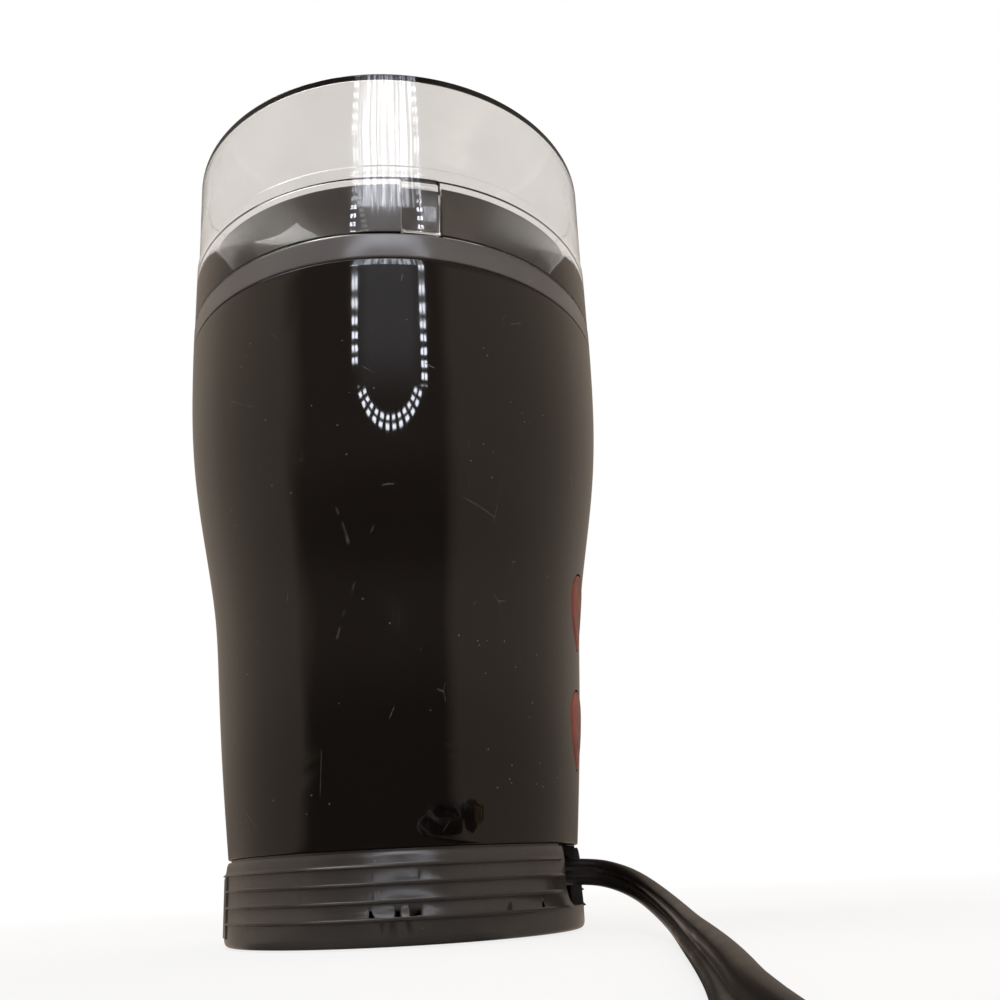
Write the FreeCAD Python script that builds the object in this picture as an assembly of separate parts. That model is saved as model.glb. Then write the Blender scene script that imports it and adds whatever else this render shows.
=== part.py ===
import FreeCAD, Part
import math
import os

# Electric spice grinder, standing on a table. Millimetres, +Z up.
# The origin is under the middle of the base, and the two buttons face -Y.

# Heights above the table
FOOT_TOP = 2.9
SPOOL_BOTTOM = 2.3
SKIRT_BOTTOM = 0.8
PLATE_BOTTOM = 18.6
PLATE_TOP = 21.0
SHELL_BOTTOM = 21.4
SHELL_TOP = 144.0
COLLAR_FLOOR = 131.0
FLANGE_BOTTOM = 144.4
FLANGE_TOP = 150.4
NECK_TOP = 165.0
LID_RIM = 150.7
LID_STEP = 165.4
LID_TOP = 194.4

# Radii and walls
SHELL_WALL = 2.2
SKIRT_RIDGE = 41.0
SKIRT_VALLEY = 40.4
SKIRT_INSIDE = 38.2
VENT_RADIUS = 7.0
DRUM_RADIUS = 24.0
DRUM_WALL = 2.0
SPOOL_FLANGE = 31.0
NECK_RADIUS = 50.0
FLANGE_RADIUS = 52.65
LID_INSIDE = 50.6
BOWL_RADIUS = 44.0
BOWL_SHEET = 0.8

# Screws from below into the shell's bosses
BASE_SCREW_SPREAD = 32.5
BASE_SCREWS = (90, 210, 330)

# Outer line of the black shell: radius, height
SHELL_LINE = (
    (40.9, 21.4), (42.4, 40.0), (43.8, 60.0), (44.9, 74.0),
    (47.1, 88.0), (50.8, 110.0), (52.2, 126.0), (52.65, 144.0),
)

# Ridges of the ribbed skirt, from the top down
RIDGE_HEIGHTS = (15.2, 11.6, 8.2, 4.9)
RIDGE_STEP = 0.3

# Buttons
BUTTON_HALF_WIDTH = 6.2
BUTTON_HEIGHT = 19.0
UPPER_BUTTON_TOP = 81.8
LOWER_BUTTON_TOP = 53.6
BUTTON_GAP = 0.25
BUTTON_PROUD = 0.5
BUTTON_TRAVEL = 1.6
BUTTON_POST = 2.0

# Switch bracket, measured along Y behind the buttons
BRACKET_FRONT = -33.6
BRACKET_BACK = -31.2
BRACKET_HALF_WIDTH = 13.0
SWITCH_BACK = -24.8
RUNNING_GAP = 0.05
FREE_GAP = 0.3

# Motor
SHAFT_RADIUS = 2.5
ROTOR_RADIUS = 14.5
STATOR_BORE = 15.0
STATOR_LOW = 62.0
STATOR_HIGH = 92.0
STATOR_HALF_X = 29.0
STATOR_HALF_Y = 22.0
BOLT_SPREAD = 24.5
BOLT_RADIUS = 1.9
BRUSH_HEIGHT = 50.0
COMMUTATOR_RADIUS = 8.0
LOWER_BRACKET = 33.0
BRUSH_PLATE = 43.2
UPPER_BRACKET = 108.0
CARRIER_LOW = 114.0
CARRIER_HIGH = 117.0
CARRIER_BOSS_SPREAD = 36.0

# Lid key and interlock, at this bearing about Z
KEY_BEARING = -153.3
KEY_HALF_WIDTH = 4.4
ROD_SPREAD = 48.0
ROD_RADIUS = 1.3
ROD_TOP = 151.9
ROD_FOOT = 124.0

# Blade
BLADE_LEVEL = 142.3
BLADE_SHEET = 1.4
BLADE_REACH = 32.5

# Mains cord: a flat twin cord, drawn as a round tube
CORD_TUBE = 2.2
CORD_HEIGHT = 12.6
CORD_EXIT = -37.0
CORD_FLOOR = 2.3
LEAD_RISE = -11.2
COIL_CENTRE = (-151.0, -132.5)
COIL_RADIUS = 35.5
COIL_PITCH = 5.9
COIL_LAYER = 4.9
COIL_TURNS = 3.375
COIL_START = 137.0
COIL_APPROACH = 30.0
COIL_TAIL = 14.0

# Route of the free cord, chosen by hand, up to its approach to the coil
CORD_ROUTE = (
    (0.0, CORD_EXIT, CORD_HEIGHT), (0.0, -45.0, CORD_HEIGHT), (-4.0, -53.0, 10.2),
    (-13.0, -58.6, 7.6), (-28.0, -62.3, 5.6), (-50.0, -66.0, 4.0),
    (-78.0, -70.0, 2.8), (-106.0, -72.8, CORD_FLOOR), (-132.0, -75.2, CORD_FLOOR),
)

# Route of the lead inside the housing
LEAD_ROUTE = (
    (0.0, CORD_EXIT, CORD_HEIGHT), (0.0, LEAD_RISE, CORD_HEIGHT), (0.0, LEAD_RISE, 23.5),
    (0.0, -28.0, 30.0), (0.0, -28.0, LOWER_BUTTON_TOP - 14.74),
)


def vec(x, y, z):
    return FreeCAD.Vector(x, y, z)


def cylinder(radius, low, high, x=0.0, y=0.0):
    return Part.makeCylinder(radius, high - low, vec(x, y, low))


def ring(outer, inner, low, high, x=0.0, y=0.0):
    return cylinder(outer, low, high, x, y).cut(cylinder(inner, low - 1, high + 1, x, y))


def rod_along_y(radius, start, end, x, z):
    return Part.makeCylinder(radius, end - start, vec(x, start, z), vec(0, 1, 0))


def block(x_low, x_high, y_low, y_high, z_low, z_high):
    corner = vec(x_low, y_low, z_low)
    return Part.makeBox(x_high - x_low, y_high - y_low, z_high - z_low, corner)


def fused(shapes):
    return shapes[0].multiFuse(shapes[1:]).removeSplitter()


def group(shapes):
    return Part.makeCompound(shapes)


def turned(shape, degrees):
    copy = shape.copy()
    copy.rotate(vec(0, 0, 0), vec(0, 0, 1), degrees)
    return copy


def spread(shape, bearings):
    return [turned(shape, bearing) for bearing in bearings]


def straight(start, end):
    return Part.LineSegment(vec(start[0], 0, start[1]), vec(end[0], 0, end[1])).toShape()


def bend(start, middle, end):
    points = [vec(p[0], 0, p[1]) for p in (start, middle, end)]
    return Part.Arc(*points).toShape()


def spun(edges):
    return Part.Face(Part.Wire(edges)).revolve(vec(0, 0, 0), vec(0, 0, 1), 360)


def spun_corners(corners):
    points = [vec(r, 0, z) for r, z in corners]
    wire = Part.makePolygon(points + [points[0]])
    return Part.Face(wire).revolve(vec(0, 0, 0), vec(0, 0, 1), 360)


def prism(corners, low, high):
    points = [vec(x, y, low) for x, y in corners]
    wire = Part.makePolygon(points + [points[0]])
    return Part.Face(wire).extrude(vec(0, 0, high - low))


def hexagon(width_across_flats, low, high, x=0.0, y=0.0):
    reach = width_across_flats / math.sqrt(3)
    corners = []
    for step in range(6):
        turn = math.radians(60 * step)
        corners.append((x + reach * math.cos(turn), y + reach * math.sin(turn)))
    return prism(corners, low, high)


def shell_solid(offset):
    """Solid inside the shell's outer line, moved outwards by offset."""
    line = Part.BSplineCurve()
    line.interpolate([vec(r + offset, 0, z) for r, z in SHELL_LINE])
    foot, head = SHELL_LINE[0], SHELL_LINE[-1]
    edges = [
        line.toShape(),
        straight((head[0] + offset, head[1]), (0, head[1])),
        straight((0, head[1]), (0, foot[1])),
        straight((0, foot[1]), (foot[0] + offset, foot[1])),
    ]
    return spun(edges)


def button_outline(top, margin):
    """Teardrop prism along Y: a round top that narrows to a soft point."""
    half = BUTTON_HALF_WIDTH + margin
    centre = top - BUTTON_HALF_WIDTH
    tip = top - BUTTON_HEIGHT - margin
    waist = centre - 0.45 * (centre - tip)
    blunt = 0.9 + 0.5 * margin
    front = -60.0

    def at(x, z):
        return vec(x, front, z)

    edges = [
        Part.Arc(at(half, centre), at(0, centre + half), at(-half, centre)).toShape(),
        Part.Arc(at(-half, centre), at(-0.79 * half, waist), at(-blunt, tip + 0.7)).toShape(),
        Part.Arc(at(-blunt, tip + 0.7), at(0, tip), at(blunt, tip + 0.7)).toShape(),
        Part.Arc(at(blunt, tip + 0.7), at(0.79 * half, waist), at(half, centre)).toShape(),
    ]
    return Part.Face(Part.Wire(edges)).extrude(vec(0, 35, 0))


def button_centre(top):
    return top - 0.46 * BUTTON_HEIGHT


# Base: ribbed skirt with the cord notch, spool, feet, screws
def skirt_section():
    edges = [
        straight((VENT_RADIUS, PLATE_BOTTOM), (SKIRT_INSIDE, PLATE_BOTTOM)),
        straight((SKIRT_INSIDE, PLATE_BOTTOM), (SKIRT_INSIDE, SKIRT_BOTTOM)),
        straight((SKIRT_INSIDE, SKIRT_BOTTOM), (38.4, SKIRT_BOTTOM)),
        bend((38.4, SKIRT_BOTTOM), (39.8, 1.4), (SKIRT_VALLEY, 2.9)),
    ]
    last = (SKIRT_VALLEY, 2.9)
    for height in reversed(RIDGE_HEIGHTS):
        foot = (SKIRT_VALLEY, height - RIDGE_STEP)
        crest = (SKIRT_RIDGE, height)
        edges.append(straight(last, foot))
        edges.append(straight(foot, crest))
        last = crest
        shoulder = (SKIRT_VALLEY + 0.1, height + 2.6)
        edges.append(straight(last, shoulder))
        last = shoulder
    rest = [(40.2, 20.6), (39.8, PLATE_TOP), (38.6, PLATE_TOP), (38.6, 24.0),
            (36.7, 24.0), (36.7, PLATE_TOP), (VENT_RADIUS, PLATE_TOP),
            (VENT_RADIUS, PLATE_BOTTOM)]
    for corner in rest:
        edges.append(straight(last, corner))
        last = corner
    return spun(edges)


def notch_cutter():
    """U-shaped mouth for the cord, open at the skirt's top edge."""
    depth = -50.0

    def at(x, z):
        return vec(x, depth, z)

    low = RIDGE_HEIGHTS[-1] + 0.8
    edges = [
        Part.LineSegment(at(-9.8, PLATE_TOP), at(-8.6, 17.5)).toShape(),
        Part.LineSegment(at(-8.6, 17.5), at(-3.2, low + 1.6)).toShape(),
        Part.Arc(at(-3.2, low + 1.6), at(0, low), at(3.2, low + 1.6)).toShape(),
        Part.LineSegment(at(3.2, low + 1.6), at(8.6, 17.5)).toShape(),
        Part.LineSegment(at(8.6, 17.5), at(9.8, PLATE_TOP)).toShape(),
        Part.LineSegment(at(9.8, PLATE_TOP), at(-9.8, PLATE_TOP)).toShape(),
    ]
    return Part.Face(Part.Wire(edges)).extrude(vec(0, 13.0, 0))


def make_base_skirt():
    panel = ring(SKIRT_RIDGE - 0.1, SKIRT_INSIDE + 0.8, 2.9, 20.3)
    panel = panel.common(block(-12.0, 12.0, -45, -30, 0, 25))
    bosses = [cylinder(4.0, 6.0, PLATE_BOTTOM, x) for x in (-14.0, 14.0)]
    body = fused([skirt_section(), panel] + bosses)
    body = body.cut(notch_cutter())
    for x in (-14.0, 14.0):
        body = body.cut(cylinder(1.45, 5.0, 17.5, x))
    for hole in spread(cylinder(1.7, 17.0, 22.0, BASE_SCREW_SPREAD), BASE_SCREWS):
        body = body.cut(hole)
    return body.cut(cylinder(2.9, 17.0, 22.0, 0, LEAD_RISE))


def make_cord_spool():
    corners = [(0, SPOOL_BOTTOM), (SPOOL_FLANGE - 0.6, SPOOL_BOTTOM),
               (SPOOL_FLANGE, SPOOL_BOTTOM + 0.6), (SPOOL_FLANGE, 4.5),
               (DRUM_RADIUS, 4.5), (DRUM_RADIUS, PLATE_BOTTOM),
               (DRUM_RADIUS - DRUM_WALL, PLATE_BOTTOM),
               (DRUM_RADIUS - DRUM_WALL, 4.5), (0, 4.5)]
    body = spun_corners(corners)
    for x in (-14.0, 14.0):
        body = body.fuse(cylinder(5.0, 4.5, 6.0, x))
        body = body.cut(cylinder(3.4, 0.0, 4.7, x))
        body = body.cut(cylinder(1.7, 4.0, 7.0, x))
    body = body.cut(rod_along_y(4.05, -26.0, -20.0, 0, CORD_HEIGHT))
    for pocket in spread(cylinder(4.6, 0.0, FOOT_TOP, 25.0), (45, 135, 225, 315)):
        body = body.cut(pocket)
    return body.removeSplitter()


def make_rubber_feet():
    foot = spun_corners([(0, 0), (3.9, 0), (4.5, 0.6), (4.5, FOOT_TOP), (0, FOOT_TOP)])
    foot.translate(vec(25.0, 0, 0))
    return group(spread(foot, (45, 135, 225, 315)))


def pan_screw(head, shank, head_low, tip, x=0.0, y=0.0):
    """Screw pointing up: domed head, cross recess, plain shank."""
    thick = 2.1
    corners = [(0, head_low), (0.62 * head, head_low), (head, head_low + 0.9),
               (head, head_low + thick), (shank, head_low + thick),
               (shank, tip - 1.2), (0, tip)]
    body = spun_corners(corners)
    for turn in (0, 90):
        body = body.cut(turned(block(-1.5, 1.5, -0.3, 0.3, head_low - 1, head_low + 1.0), turn))
    body.translate(vec(x, y, 0))
    return body


def make_spool_screws():
    return group([pan_screw(3.2, 1.4, 2.6, 16.0, x) for x in (-14.0, 14.0)])


def make_base_screws():
    screw = pan_screw(3.2, 1.4, PLATE_BOTTOM - 2.1, 36.0, BASE_SCREW_SPREAD)
    return group(spread(screw, BASE_SCREWS))


# Black housing shell with the two button openings and its inner bosses
def make_body_shell():
    walls = shell_solid(0).cut(shell_solid(-SHELL_WALL))
    inner = shell_solid(-0.8)
    bosses = []
    for bearing in BASE_SCREWS:
        post = cylinder(3.6, PLATE_TOP, 42.0, BASE_SCREW_SPREAD)
        web = block(33.0, 43.0, -1.5, 1.5, 24.6, 42.0)
        bosses.append(turned(post, bearing))
        bosses.append(turned(web.common(inner), bearing))
    for height in (58.2, 88.0):
        boss = rod_along_y(3.0, -50.0, BRACKET_FRONT, 0, height)
        bosses.append(boss.common(inner))
    body = fused([walls] + bosses)
    for bearing in BASE_SCREWS:
        body = body.cut(turned(cylinder(1.45, 20.0, 38.0, BASE_SCREW_SPREAD), bearing))
    for height in (58.2, 88.0):
        body = body.cut(rod_along_y(1.25, -40.0, BRACKET_FRONT + 1, 0, height))
    for top in (UPPER_BUTTON_TOP, LOWER_BUTTON_TOP):
        body = body.cut(button_outline(top, 0.0))
    return body


def make_button(top):
    """Cap that follows the shell, inner lip that keeps it in, and a post."""
    cap = button_outline(top, -BUTTON_GAP).common(shell_solid(BUTTON_PROUD))
    cap = cap.cut(shell_solid(-SHELL_WALL - 1.0))
    lip = button_outline(top, 1.2).common(shell_solid(-SHELL_WALL - 0.4))
    lip = lip.cut(shell_solid(-SHELL_WALL - 1.8))
    post = rod_along_y(BUTTON_POST, -50.0, BRACKET_FRONT + 0.5, 0, button_centre(top))
    post = post.common(shell_solid(-SHELL_WALL - 0.6))
    return fused([cap, lip, post])


def make_button_spring(top):
    centre = button_centre(top)
    start = -36.0 - (4.4 if top == UPPER_BUTTON_TOP else 2.2)
    outer = rod_along_y(3.1, start, BRACKET_FRONT, 0, centre)
    return outer.cut(rod_along_y(2.4, start - 1, BRACKET_FRONT + 1, 0, centre))


def make_switch_plunger(top):
    centre = button_centre(top)
    return rod_along_y(1.4, BRACKET_FRONT + 0.8, -29.2, 0, centre)


def make_button_switch(top):
    centre = button_centre(top)
    case = block(-6.0, 6.0, BRACKET_BACK, SWITCH_BACK, centre - 6.0, centre + 6.0)
    case = case.cut(rod_along_y(1.45, BRACKET_BACK - 1, -27.0, 0, centre))
    tabs = [block(x - 1.2, x + 1.2, SWITCH_BACK, SWITCH_BACK + 2.2, centre - 3.0, centre + 3.0)
            for x in (-3.6, 3.6)]
    return fused([case] + tabs)


def make_switch_bracket():
    plate = block(-BRACKET_HALF_WIDTH, BRACKET_HALF_WIDTH, BRACKET_FRONT, BRACKET_BACK, 36.5, 91.5)
    ribs = [block(x - 0.8, x + 0.8, BRACKET_BACK, SWITCH_BACK, 36.5, 91.5) for x in (-9.0, 9.0)]
    body = fused([plate] + ribs)
    for top in (UPPER_BUTTON_TOP, LOWER_BUTTON_TOP):
        centre = button_centre(top)
        body = body.cut(rod_along_y(BUTTON_POST + 0.1, -35.0, -30.0, 0, centre))
    for height in (58.2, 88.0):
        body = body.cut(rod_along_y(1.5, -35.0, -30.0, 0, height))
    return body


def make_bracket_screws():
    screws = []
    for height in (58.2, 88.0):
        head = rod_along_y(2.6, BRACKET_BACK, BRACKET_BACK + 1.8, 0, height)
        shank = rod_along_y(1.2, BRACKET_FRONT - 5.0, BRACKET_BACK, 0, height)
        screws.append(head.fuse(shank))
    return group(screws)


# Motor
def make_motor_shaft():
    return spun_corners([(0, 29.0), (1.9, 29.0), (SHAFT_RADIUS, 29.6),
                         (SHAFT_RADIUS, 146.2), (1.9, 146.8), (0, 146.8)])


def on_shaft(shape):
    return shape.cut(cylinder(SHAFT_RADIUS + 0.02, 20.0, 160.0))


def make_rotor_core():
    core = cylinder(ROTOR_RADIUS, STATOR_LOW, STATOR_HIGH)
    mouth = block(11.0, 16.0, -0.9, 0.9, STATOR_LOW - 1, STATOR_HIGH + 1)
    well = cylinder(1.9, STATOR_LOW - 1, STATOR_HIGH + 1, 11.0)
    slot = mouth.fuse(well)
    for cutter in spread(slot, range(0, 360, 40)):
        core = core.cut(cutter)
    return on_shaft(core)


def make_armature_winding():
    low = spun([
        bend((5.0, STATOR_LOW), (8.8, 57.6), (12.6, STATOR_LOW)),
        straight((12.6, STATOR_LOW), (5.0, STATOR_LOW)),
    ])
    high = spun([
        bend((5.0, STATOR_HIGH), (8.8, 95.8), (12.6, STATOR_HIGH)),
        straight((12.6, STATOR_HIGH), (5.0, STATOR_HIGH)),
    ])
    return group([low, high])


def make_commutator():
    body = spun_corners([(0, 43.8), (COMMUTATOR_RADIUS - 0.6, 43.8), (COMMUTATOR_RADIUS, 44.4),
                         (COMMUTATOR_RADIUS, 55.4), (COMMUTATOR_RADIUS + 1.4, 55.4),
                         (COMMUTATOR_RADIUS + 1.4, 56.8), (0, 56.8)])
    groove = block(COMMUTATOR_RADIUS - 0.5, 12.0, -0.25, 0.25, 43.0, 58.0)
    for cutter in spread(groove, range(20, 380, 40)):
        body = body.cut(cutter)
    return on_shaft(body)


def make_cooling_fan():
    hub = cylinder(6.0, 96.6, 103.4)
    disc = cylinder(20.0, 96.6, 97.8)
    vane = ring(17.0, 16.0, 97.8, 103.2, 9.0, 9.0)
    vane = vane.common(ring(19.6, 5.6, 97.8, 103.2)).common(block(0, 22, -16, 4, 97, 104))
    return on_shaft(fused([hub, disc] + spread(vane, range(0, 360, 45))))


def make_stator_core():
    body = block(-STATOR_HALF_X, STATOR_HALF_X, -STATOR_HALF_Y, STATOR_HALF_Y,
                 STATOR_LOW, STATOR_HIGH)
    corners = [edge for edge in body.Edges if abs(edge.tangentAt(0).z) > 0.9]
    body = body.makeFillet(5.0, corners)
    body = body.cut(cylinder(STATOR_BORE, STATOR_LOW - 1, STATOR_HIGH + 1))
    window = ring(21.8, STATOR_BORE - 1, STATOR_LOW - 1, STATOR_HIGH + 1)
    side = prism([(0, 0), (30, -20.2), (30, 20.2)], STATOR_LOW - 1, STATOR_HIGH + 1)
    for bearing in (0, 180):
        body = body.cut(window.common(turned(side, bearing)))
    for x in (-BOLT_SPREAD, BOLT_SPREAD):
        body = body.cut(cylinder(BOLT_RADIUS + 0.05, STATOR_LOW - 1, STATOR_HIGH + 1, x))
    return body


def arc_sector(outer, inner, low, high, start, end):
    """Part of a ring between two bearings."""
    reach = 2.2 * outer
    corners = [(0, 0)]
    steps = max(2, int((end - start) / 45) + 1)
    for step in range(steps + 1):
        turn = math.radians(start + (end - start) * step / steps)
        corners.append((reach * math.cos(turn), reach * math.sin(turn)))
    return ring(outer, inner, low, high).common(prism(corners, low - 1, high + 1))


def make_field_coils():
    top = arc_sector(21.2, 16.0, STATOR_HIGH, 96.0, 6, 174)
    bottom = arc_sector(21.2, 16.0, 58.0, STATOR_LOW, 6, 174)
    left = arc_sector(21.2, 16.0, 58.0, 96.0, 6, 30)
    right = arc_sector(21.2, 16.0, 58.0, 96.0, 150, 174)
    coil = fused([top, bottom, left, right])
    return group([coil, turned(coil, 180)])


def bearing_strap(low, cup_low, cup_high):
    strap = block(-31.0, 31.0, -7.0, 7.0, low, low + 2.5)
    cup = cylinder(8.0, cup_low, cup_high)
    body = strap.fuse(cup).cut(cylinder(6.05, cup_low - 1, cup_high + 1))
    for x in (-BOLT_SPREAD, BOLT_SPREAD):
        body = body.cut(cylinder(BOLT_RADIUS + 0.05, low - 1, low + 4, x))
    return body.removeSplitter()


def bush(low, high):
    return ring(6.0, SHAFT_RADIUS + RUNNING_GAP, low, high)


def make_spacer_tubes():
    stretches = ((LOWER_BRACKET + 2.5, BRUSH_PLATE), (BRUSH_PLATE + 2.2, STATOR_LOW),
                 (STATOR_HIGH, UPPER_BRACKET))
    tubes = []
    for x in (-BOLT_SPREAD, BOLT_SPREAD):
        for low, high in stretches:
            tubes.append(ring(3.5, BOLT_RADIUS + 0.1, low, high, x))
    return group(tubes)


def make_motor_bolts():
    bolts = []
    for x in (-BOLT_SPREAD, BOLT_SPREAD):
        head = hexagon(6.4, LOWER_BRACKET - 2.6, LOWER_BRACKET, x)
        shank = cylinder(BOLT_RADIUS, LOWER_BRACKET, CARRIER_HIGH + 3.4, x)
        bolts.append(head.fuse(shank))
    return group(bolts)


def make_motor_nuts():
    nuts = []
    for x in (-BOLT_SPREAD, BOLT_SPREAD):
        nut = hexagon(6.8, CARRIER_HIGH, CARRIER_HIGH + 2.8, x)
        nuts.append(nut.cut(cylinder(BOLT_RADIUS + 0.05, 110, 125, x)))
    return group(nuts)


def make_damping_washers():
    washers = []
    for x in (-BOLT_SPREAD, BOLT_SPREAD):
        washers.append(ring(5.5, BOLT_RADIUS + 0.1, UPPER_BRACKET + 2.5, CARRIER_LOW, x))
    return group(washers)


def make_brush_plate():
    plate = block(-28.5, 28.5, -13.0, 13.0, BRUSH_PLATE, BRUSH_PLATE + 2.2)
    plate = plate.cut(cylinder(10.2, BRUSH_PLATE - 1, BRUSH_PLATE + 4))
    for x in (-BOLT_SPREAD, BOLT_SPREAD):
        plate = plate.cut(cylinder(BOLT_RADIUS + 0.1, BRUSH_PLATE - 1, BRUSH_PLATE + 4, x))
    return plate


def make_brush_holders():
    outer = block(10.6, 20.6, -4.2, 4.2, BRUSH_PLATE + 2.2, BRUSH_HEIGHT + 4.2)
    channel = block(9.0, 20.0, -2.6, 2.6, BRUSH_HEIGHT - 2.6, BRUSH_HEIGHT + 2.6)
    return group(spread(outer.cut(channel), (0, 180)))


def make_carbon_brushes():
    brush = block(COMMUTATOR_RADIUS + 0.1, 16.0, -2.5, 2.5, BRUSH_HEIGHT - 2.5, BRUSH_HEIGHT + 2.5)
    return group(spread(brush, (0, 180)))


def make_brush_springs():
    springs = []
    for bearing in (0, 180):
        tube = Part.makeCylinder(2.0, 4.0, vec(16.0, 0, BRUSH_HEIGHT), vec(1, 0, 0))
        tube = tube.cut(Part.makeCylinder(1.4, 6.0, vec(15.0, 0, BRUSH_HEIGHT), vec(1, 0, 0)))
        springs.append(turned(tube, bearing))
    return group(springs)


def make_motor_carrier():
    disc = cylinder(48.2, CARRIER_LOW, CARRIER_HIGH)
    disc = disc.cut(cylinder(9.0, CARRIER_LOW - 1, CARRIER_HIGH + 1))
    rim = ring(48.2, 46.4, CARRIER_LOW - 3.0, CARRIER_LOW)
    body = disc.fuse(rim)
    for x in (-BOLT_SPREAD, BOLT_SPREAD):
        body = body.cut(cylinder(BOLT_RADIUS + 0.1, CARRIER_LOW - 1, CARRIER_HIGH + 1, x))
    vents = [block(17.0, 30.0, -2.0, 2.0, CARRIER_LOW - 1, CARRIER_HIGH + 1)]
    for bearing in (45, 90, 135, 225, 270, 315):
        body = body.cut(turned(vents[0], bearing))
    screw_hole = cylinder(1.6, CARRIER_LOW - 1, CARRIER_HIGH + 1, CARRIER_BOSS_SPREAD)
    for hole in spread(screw_hole, (30, 150, 270)):
        body = body.cut(hole)
    return body.removeSplitter()


def make_carrier_screws():
    screw = pan_screw(3.0, 1.4, CARRIER_LOW - 2.1, 127.0, CARRIER_BOSS_SPREAD)
    return group(spread(screw, (30, 150, 270)))


# Grey collar that carries the bowl, closes the shell and guides the lid
def make_neck_collar():
    corners = [
        (9.0, COLLAR_FLOOR), (49.6, COLLAR_FLOOR), (49.6, SHELL_TOP),
        (51.2, SHELL_TOP), (51.2, FLANGE_BOTTOM), (FLANGE_RADIUS - 0.3, FLANGE_BOTTOM), (FLANGE_RADIUS, FLANGE_BOTTOM + 0.3),
        (FLANGE_RADIUS, FLANGE_TOP - 0.5), (FLANGE_RADIUS - 0.5, FLANGE_TOP),
        (NECK_RADIUS, FLANGE_TOP), (NECK_RADIUS, NECK_TOP - 0.6),
        (NECK_RADIUS - 0.6, NECK_TOP), (45.0, NECK_TOP), (45.0, NECK_TOP - 2.0),
        (48.0, NECK_TOP - 2.0), (48.0, 133.4), (22.0, 133.4), (22.0, 136.0),
        (20.0, 136.0), (20.0, 133.4), (9.0, 133.4),
    ]
    body = spun_corners(corners)
    pad = ring(49.0, 45.2, 133.0, NECK_TOP - 1.0).common(block(30, 52, -7, 7, 130, 170))
    bosses = spread(cylinder(4.0, CARRIER_HIGH, COLLAR_FLOOR + 1.0, CARRIER_BOSS_SPREAD), (30, 150, 270))
    body = fused([body, turned(pad, KEY_BEARING)] + bosses)
    for hole in spread(cylinder(1.45, 110.0, 128.5, CARRIER_BOSS_SPREAD), (30, 150, 270)):
        body = body.cut(hole)
    keyway = block(46.9, 53.0, -KEY_HALF_WIDTH - 0.4, KEY_HALF_WIDTH + 0.4, 151.6, 170.0)
    bore = cylinder(ROD_RADIUS + 0.06, 129.0, ROD_TOP + 3.0, ROD_SPREAD)
    body = body.cut(turned(keyway.fuse(bore), KEY_BEARING))
    return body


def make_grinding_bowl():
    floor, skin = 136.8, BOWL_SHEET
    corner = 10.0
    low = floor - skin
    diag = math.sqrt(0.5)
    centre = (BOWL_RADIUS - corner, floor + corner)
    inner_mid = (centre[0] + corner * diag, centre[1] - corner * diag)
    outer_mid = (centre[0] + (corner + skin) * diag, centre[1] - (corner + skin) * diag)
    edges = [
        straight((5.5, floor + 2.5), (10.0, floor + 2.5)),
        straight((10.0, floor + 2.5), (12.4, floor)),
        straight((12.4, floor), (centre[0], floor)),
        bend((centre[0], floor), inner_mid, (BOWL_RADIUS, centre[1])),
        straight((BOWL_RADIUS, centre[1]), (BOWL_RADIUS, NECK_TOP + 0.2)),
        bend((BOWL_RADIUS, NECK_TOP + 0.2), (44.18, NECK_TOP + 0.62), (44.6, NECK_TOP + skin)),
        straight((44.6, NECK_TOP + skin), (46.6, NECK_TOP + skin)),
        straight((46.6, NECK_TOP + skin), (46.6, NECK_TOP)),
        straight((46.6, NECK_TOP), (BOWL_RADIUS + skin, NECK_TOP)),
        straight((BOWL_RADIUS + skin, NECK_TOP), (BOWL_RADIUS + skin, centre[1])),
        bend((BOWL_RADIUS + skin, centre[1]), outer_mid, (centre[0], low)),
        straight((centre[0], low), (12.0, low)),
        straight((12.0, low), (9.6, floor + 1.7)),
        straight((9.6, floor + 1.7), (5.5, floor + 1.7)),
        straight((5.5, floor + 1.7), (5.5, floor + 2.5)),
    ]
    return spun(edges)


def make_shaft_seal():
    return spun_corners([(5.1, 130.2), (10.4, 130.2), (10.4, COLLAR_FLOOR), (8.9, COLLAR_FLOOR),
                         (8.9, 138.4), (5.1, 138.4), (5.1, 136.6), (5.7, 136.0),
                         (5.7, 133.0), (5.1, 132.4)])


def make_blade_hub():
    body = spun_corners([(0, 128.0), (5.0, 128.0), (5.0, 139.8), (6.6, 140.4),
                         (6.6, BLADE_LEVEL - 0.7), (0, BLADE_LEVEL - 0.7)])
    return on_shaft(body)


def blade_section(radius, width, rise, pitch):
    """Cross-section of one blade arm, thinned towards its cutting edge."""
    half, thick = width / 2, BLADE_SHEET / 2
    outline = ((-half, -thick), (half - 2.2, -thick), (half, thick - 0.35),
               (half, thick), (-half, thick))
    slope = math.radians(pitch)
    points = []
    for across, up in outline:
        y = across * math.cos(slope) - up * math.sin(slope)
        z = across * math.sin(slope) + up * math.cos(slope)
        points.append(vec(radius, y, BLADE_LEVEL + rise + z))
    return Part.makePolygon(points + [points[0]])


def make_blade():
    arms = []
    for bearing, lift in ((0, 1.0), (180, 0.62)):
        stations = ((5.0, 12.5, 0.0, 0.0), (12.0, 12.0, 0.0, 0.0), (19.0, 10.5, 0.5 * lift, 7.0),
                    (26.0, 9.0, 2.6 * lift, 13.0), (BLADE_REACH, 7.0, 6.8 * lift, 17.0))
        sections = [blade_section(*station) for station in stations]
        arms.append(turned(Part.makeLoft(sections, True, True), bearing))
    middle = cylinder(7.4, BLADE_LEVEL - BLADE_SHEET / 2, BLADE_LEVEL + BLADE_SHEET / 2)
    return on_shaft(fused([middle] + arms))


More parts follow.
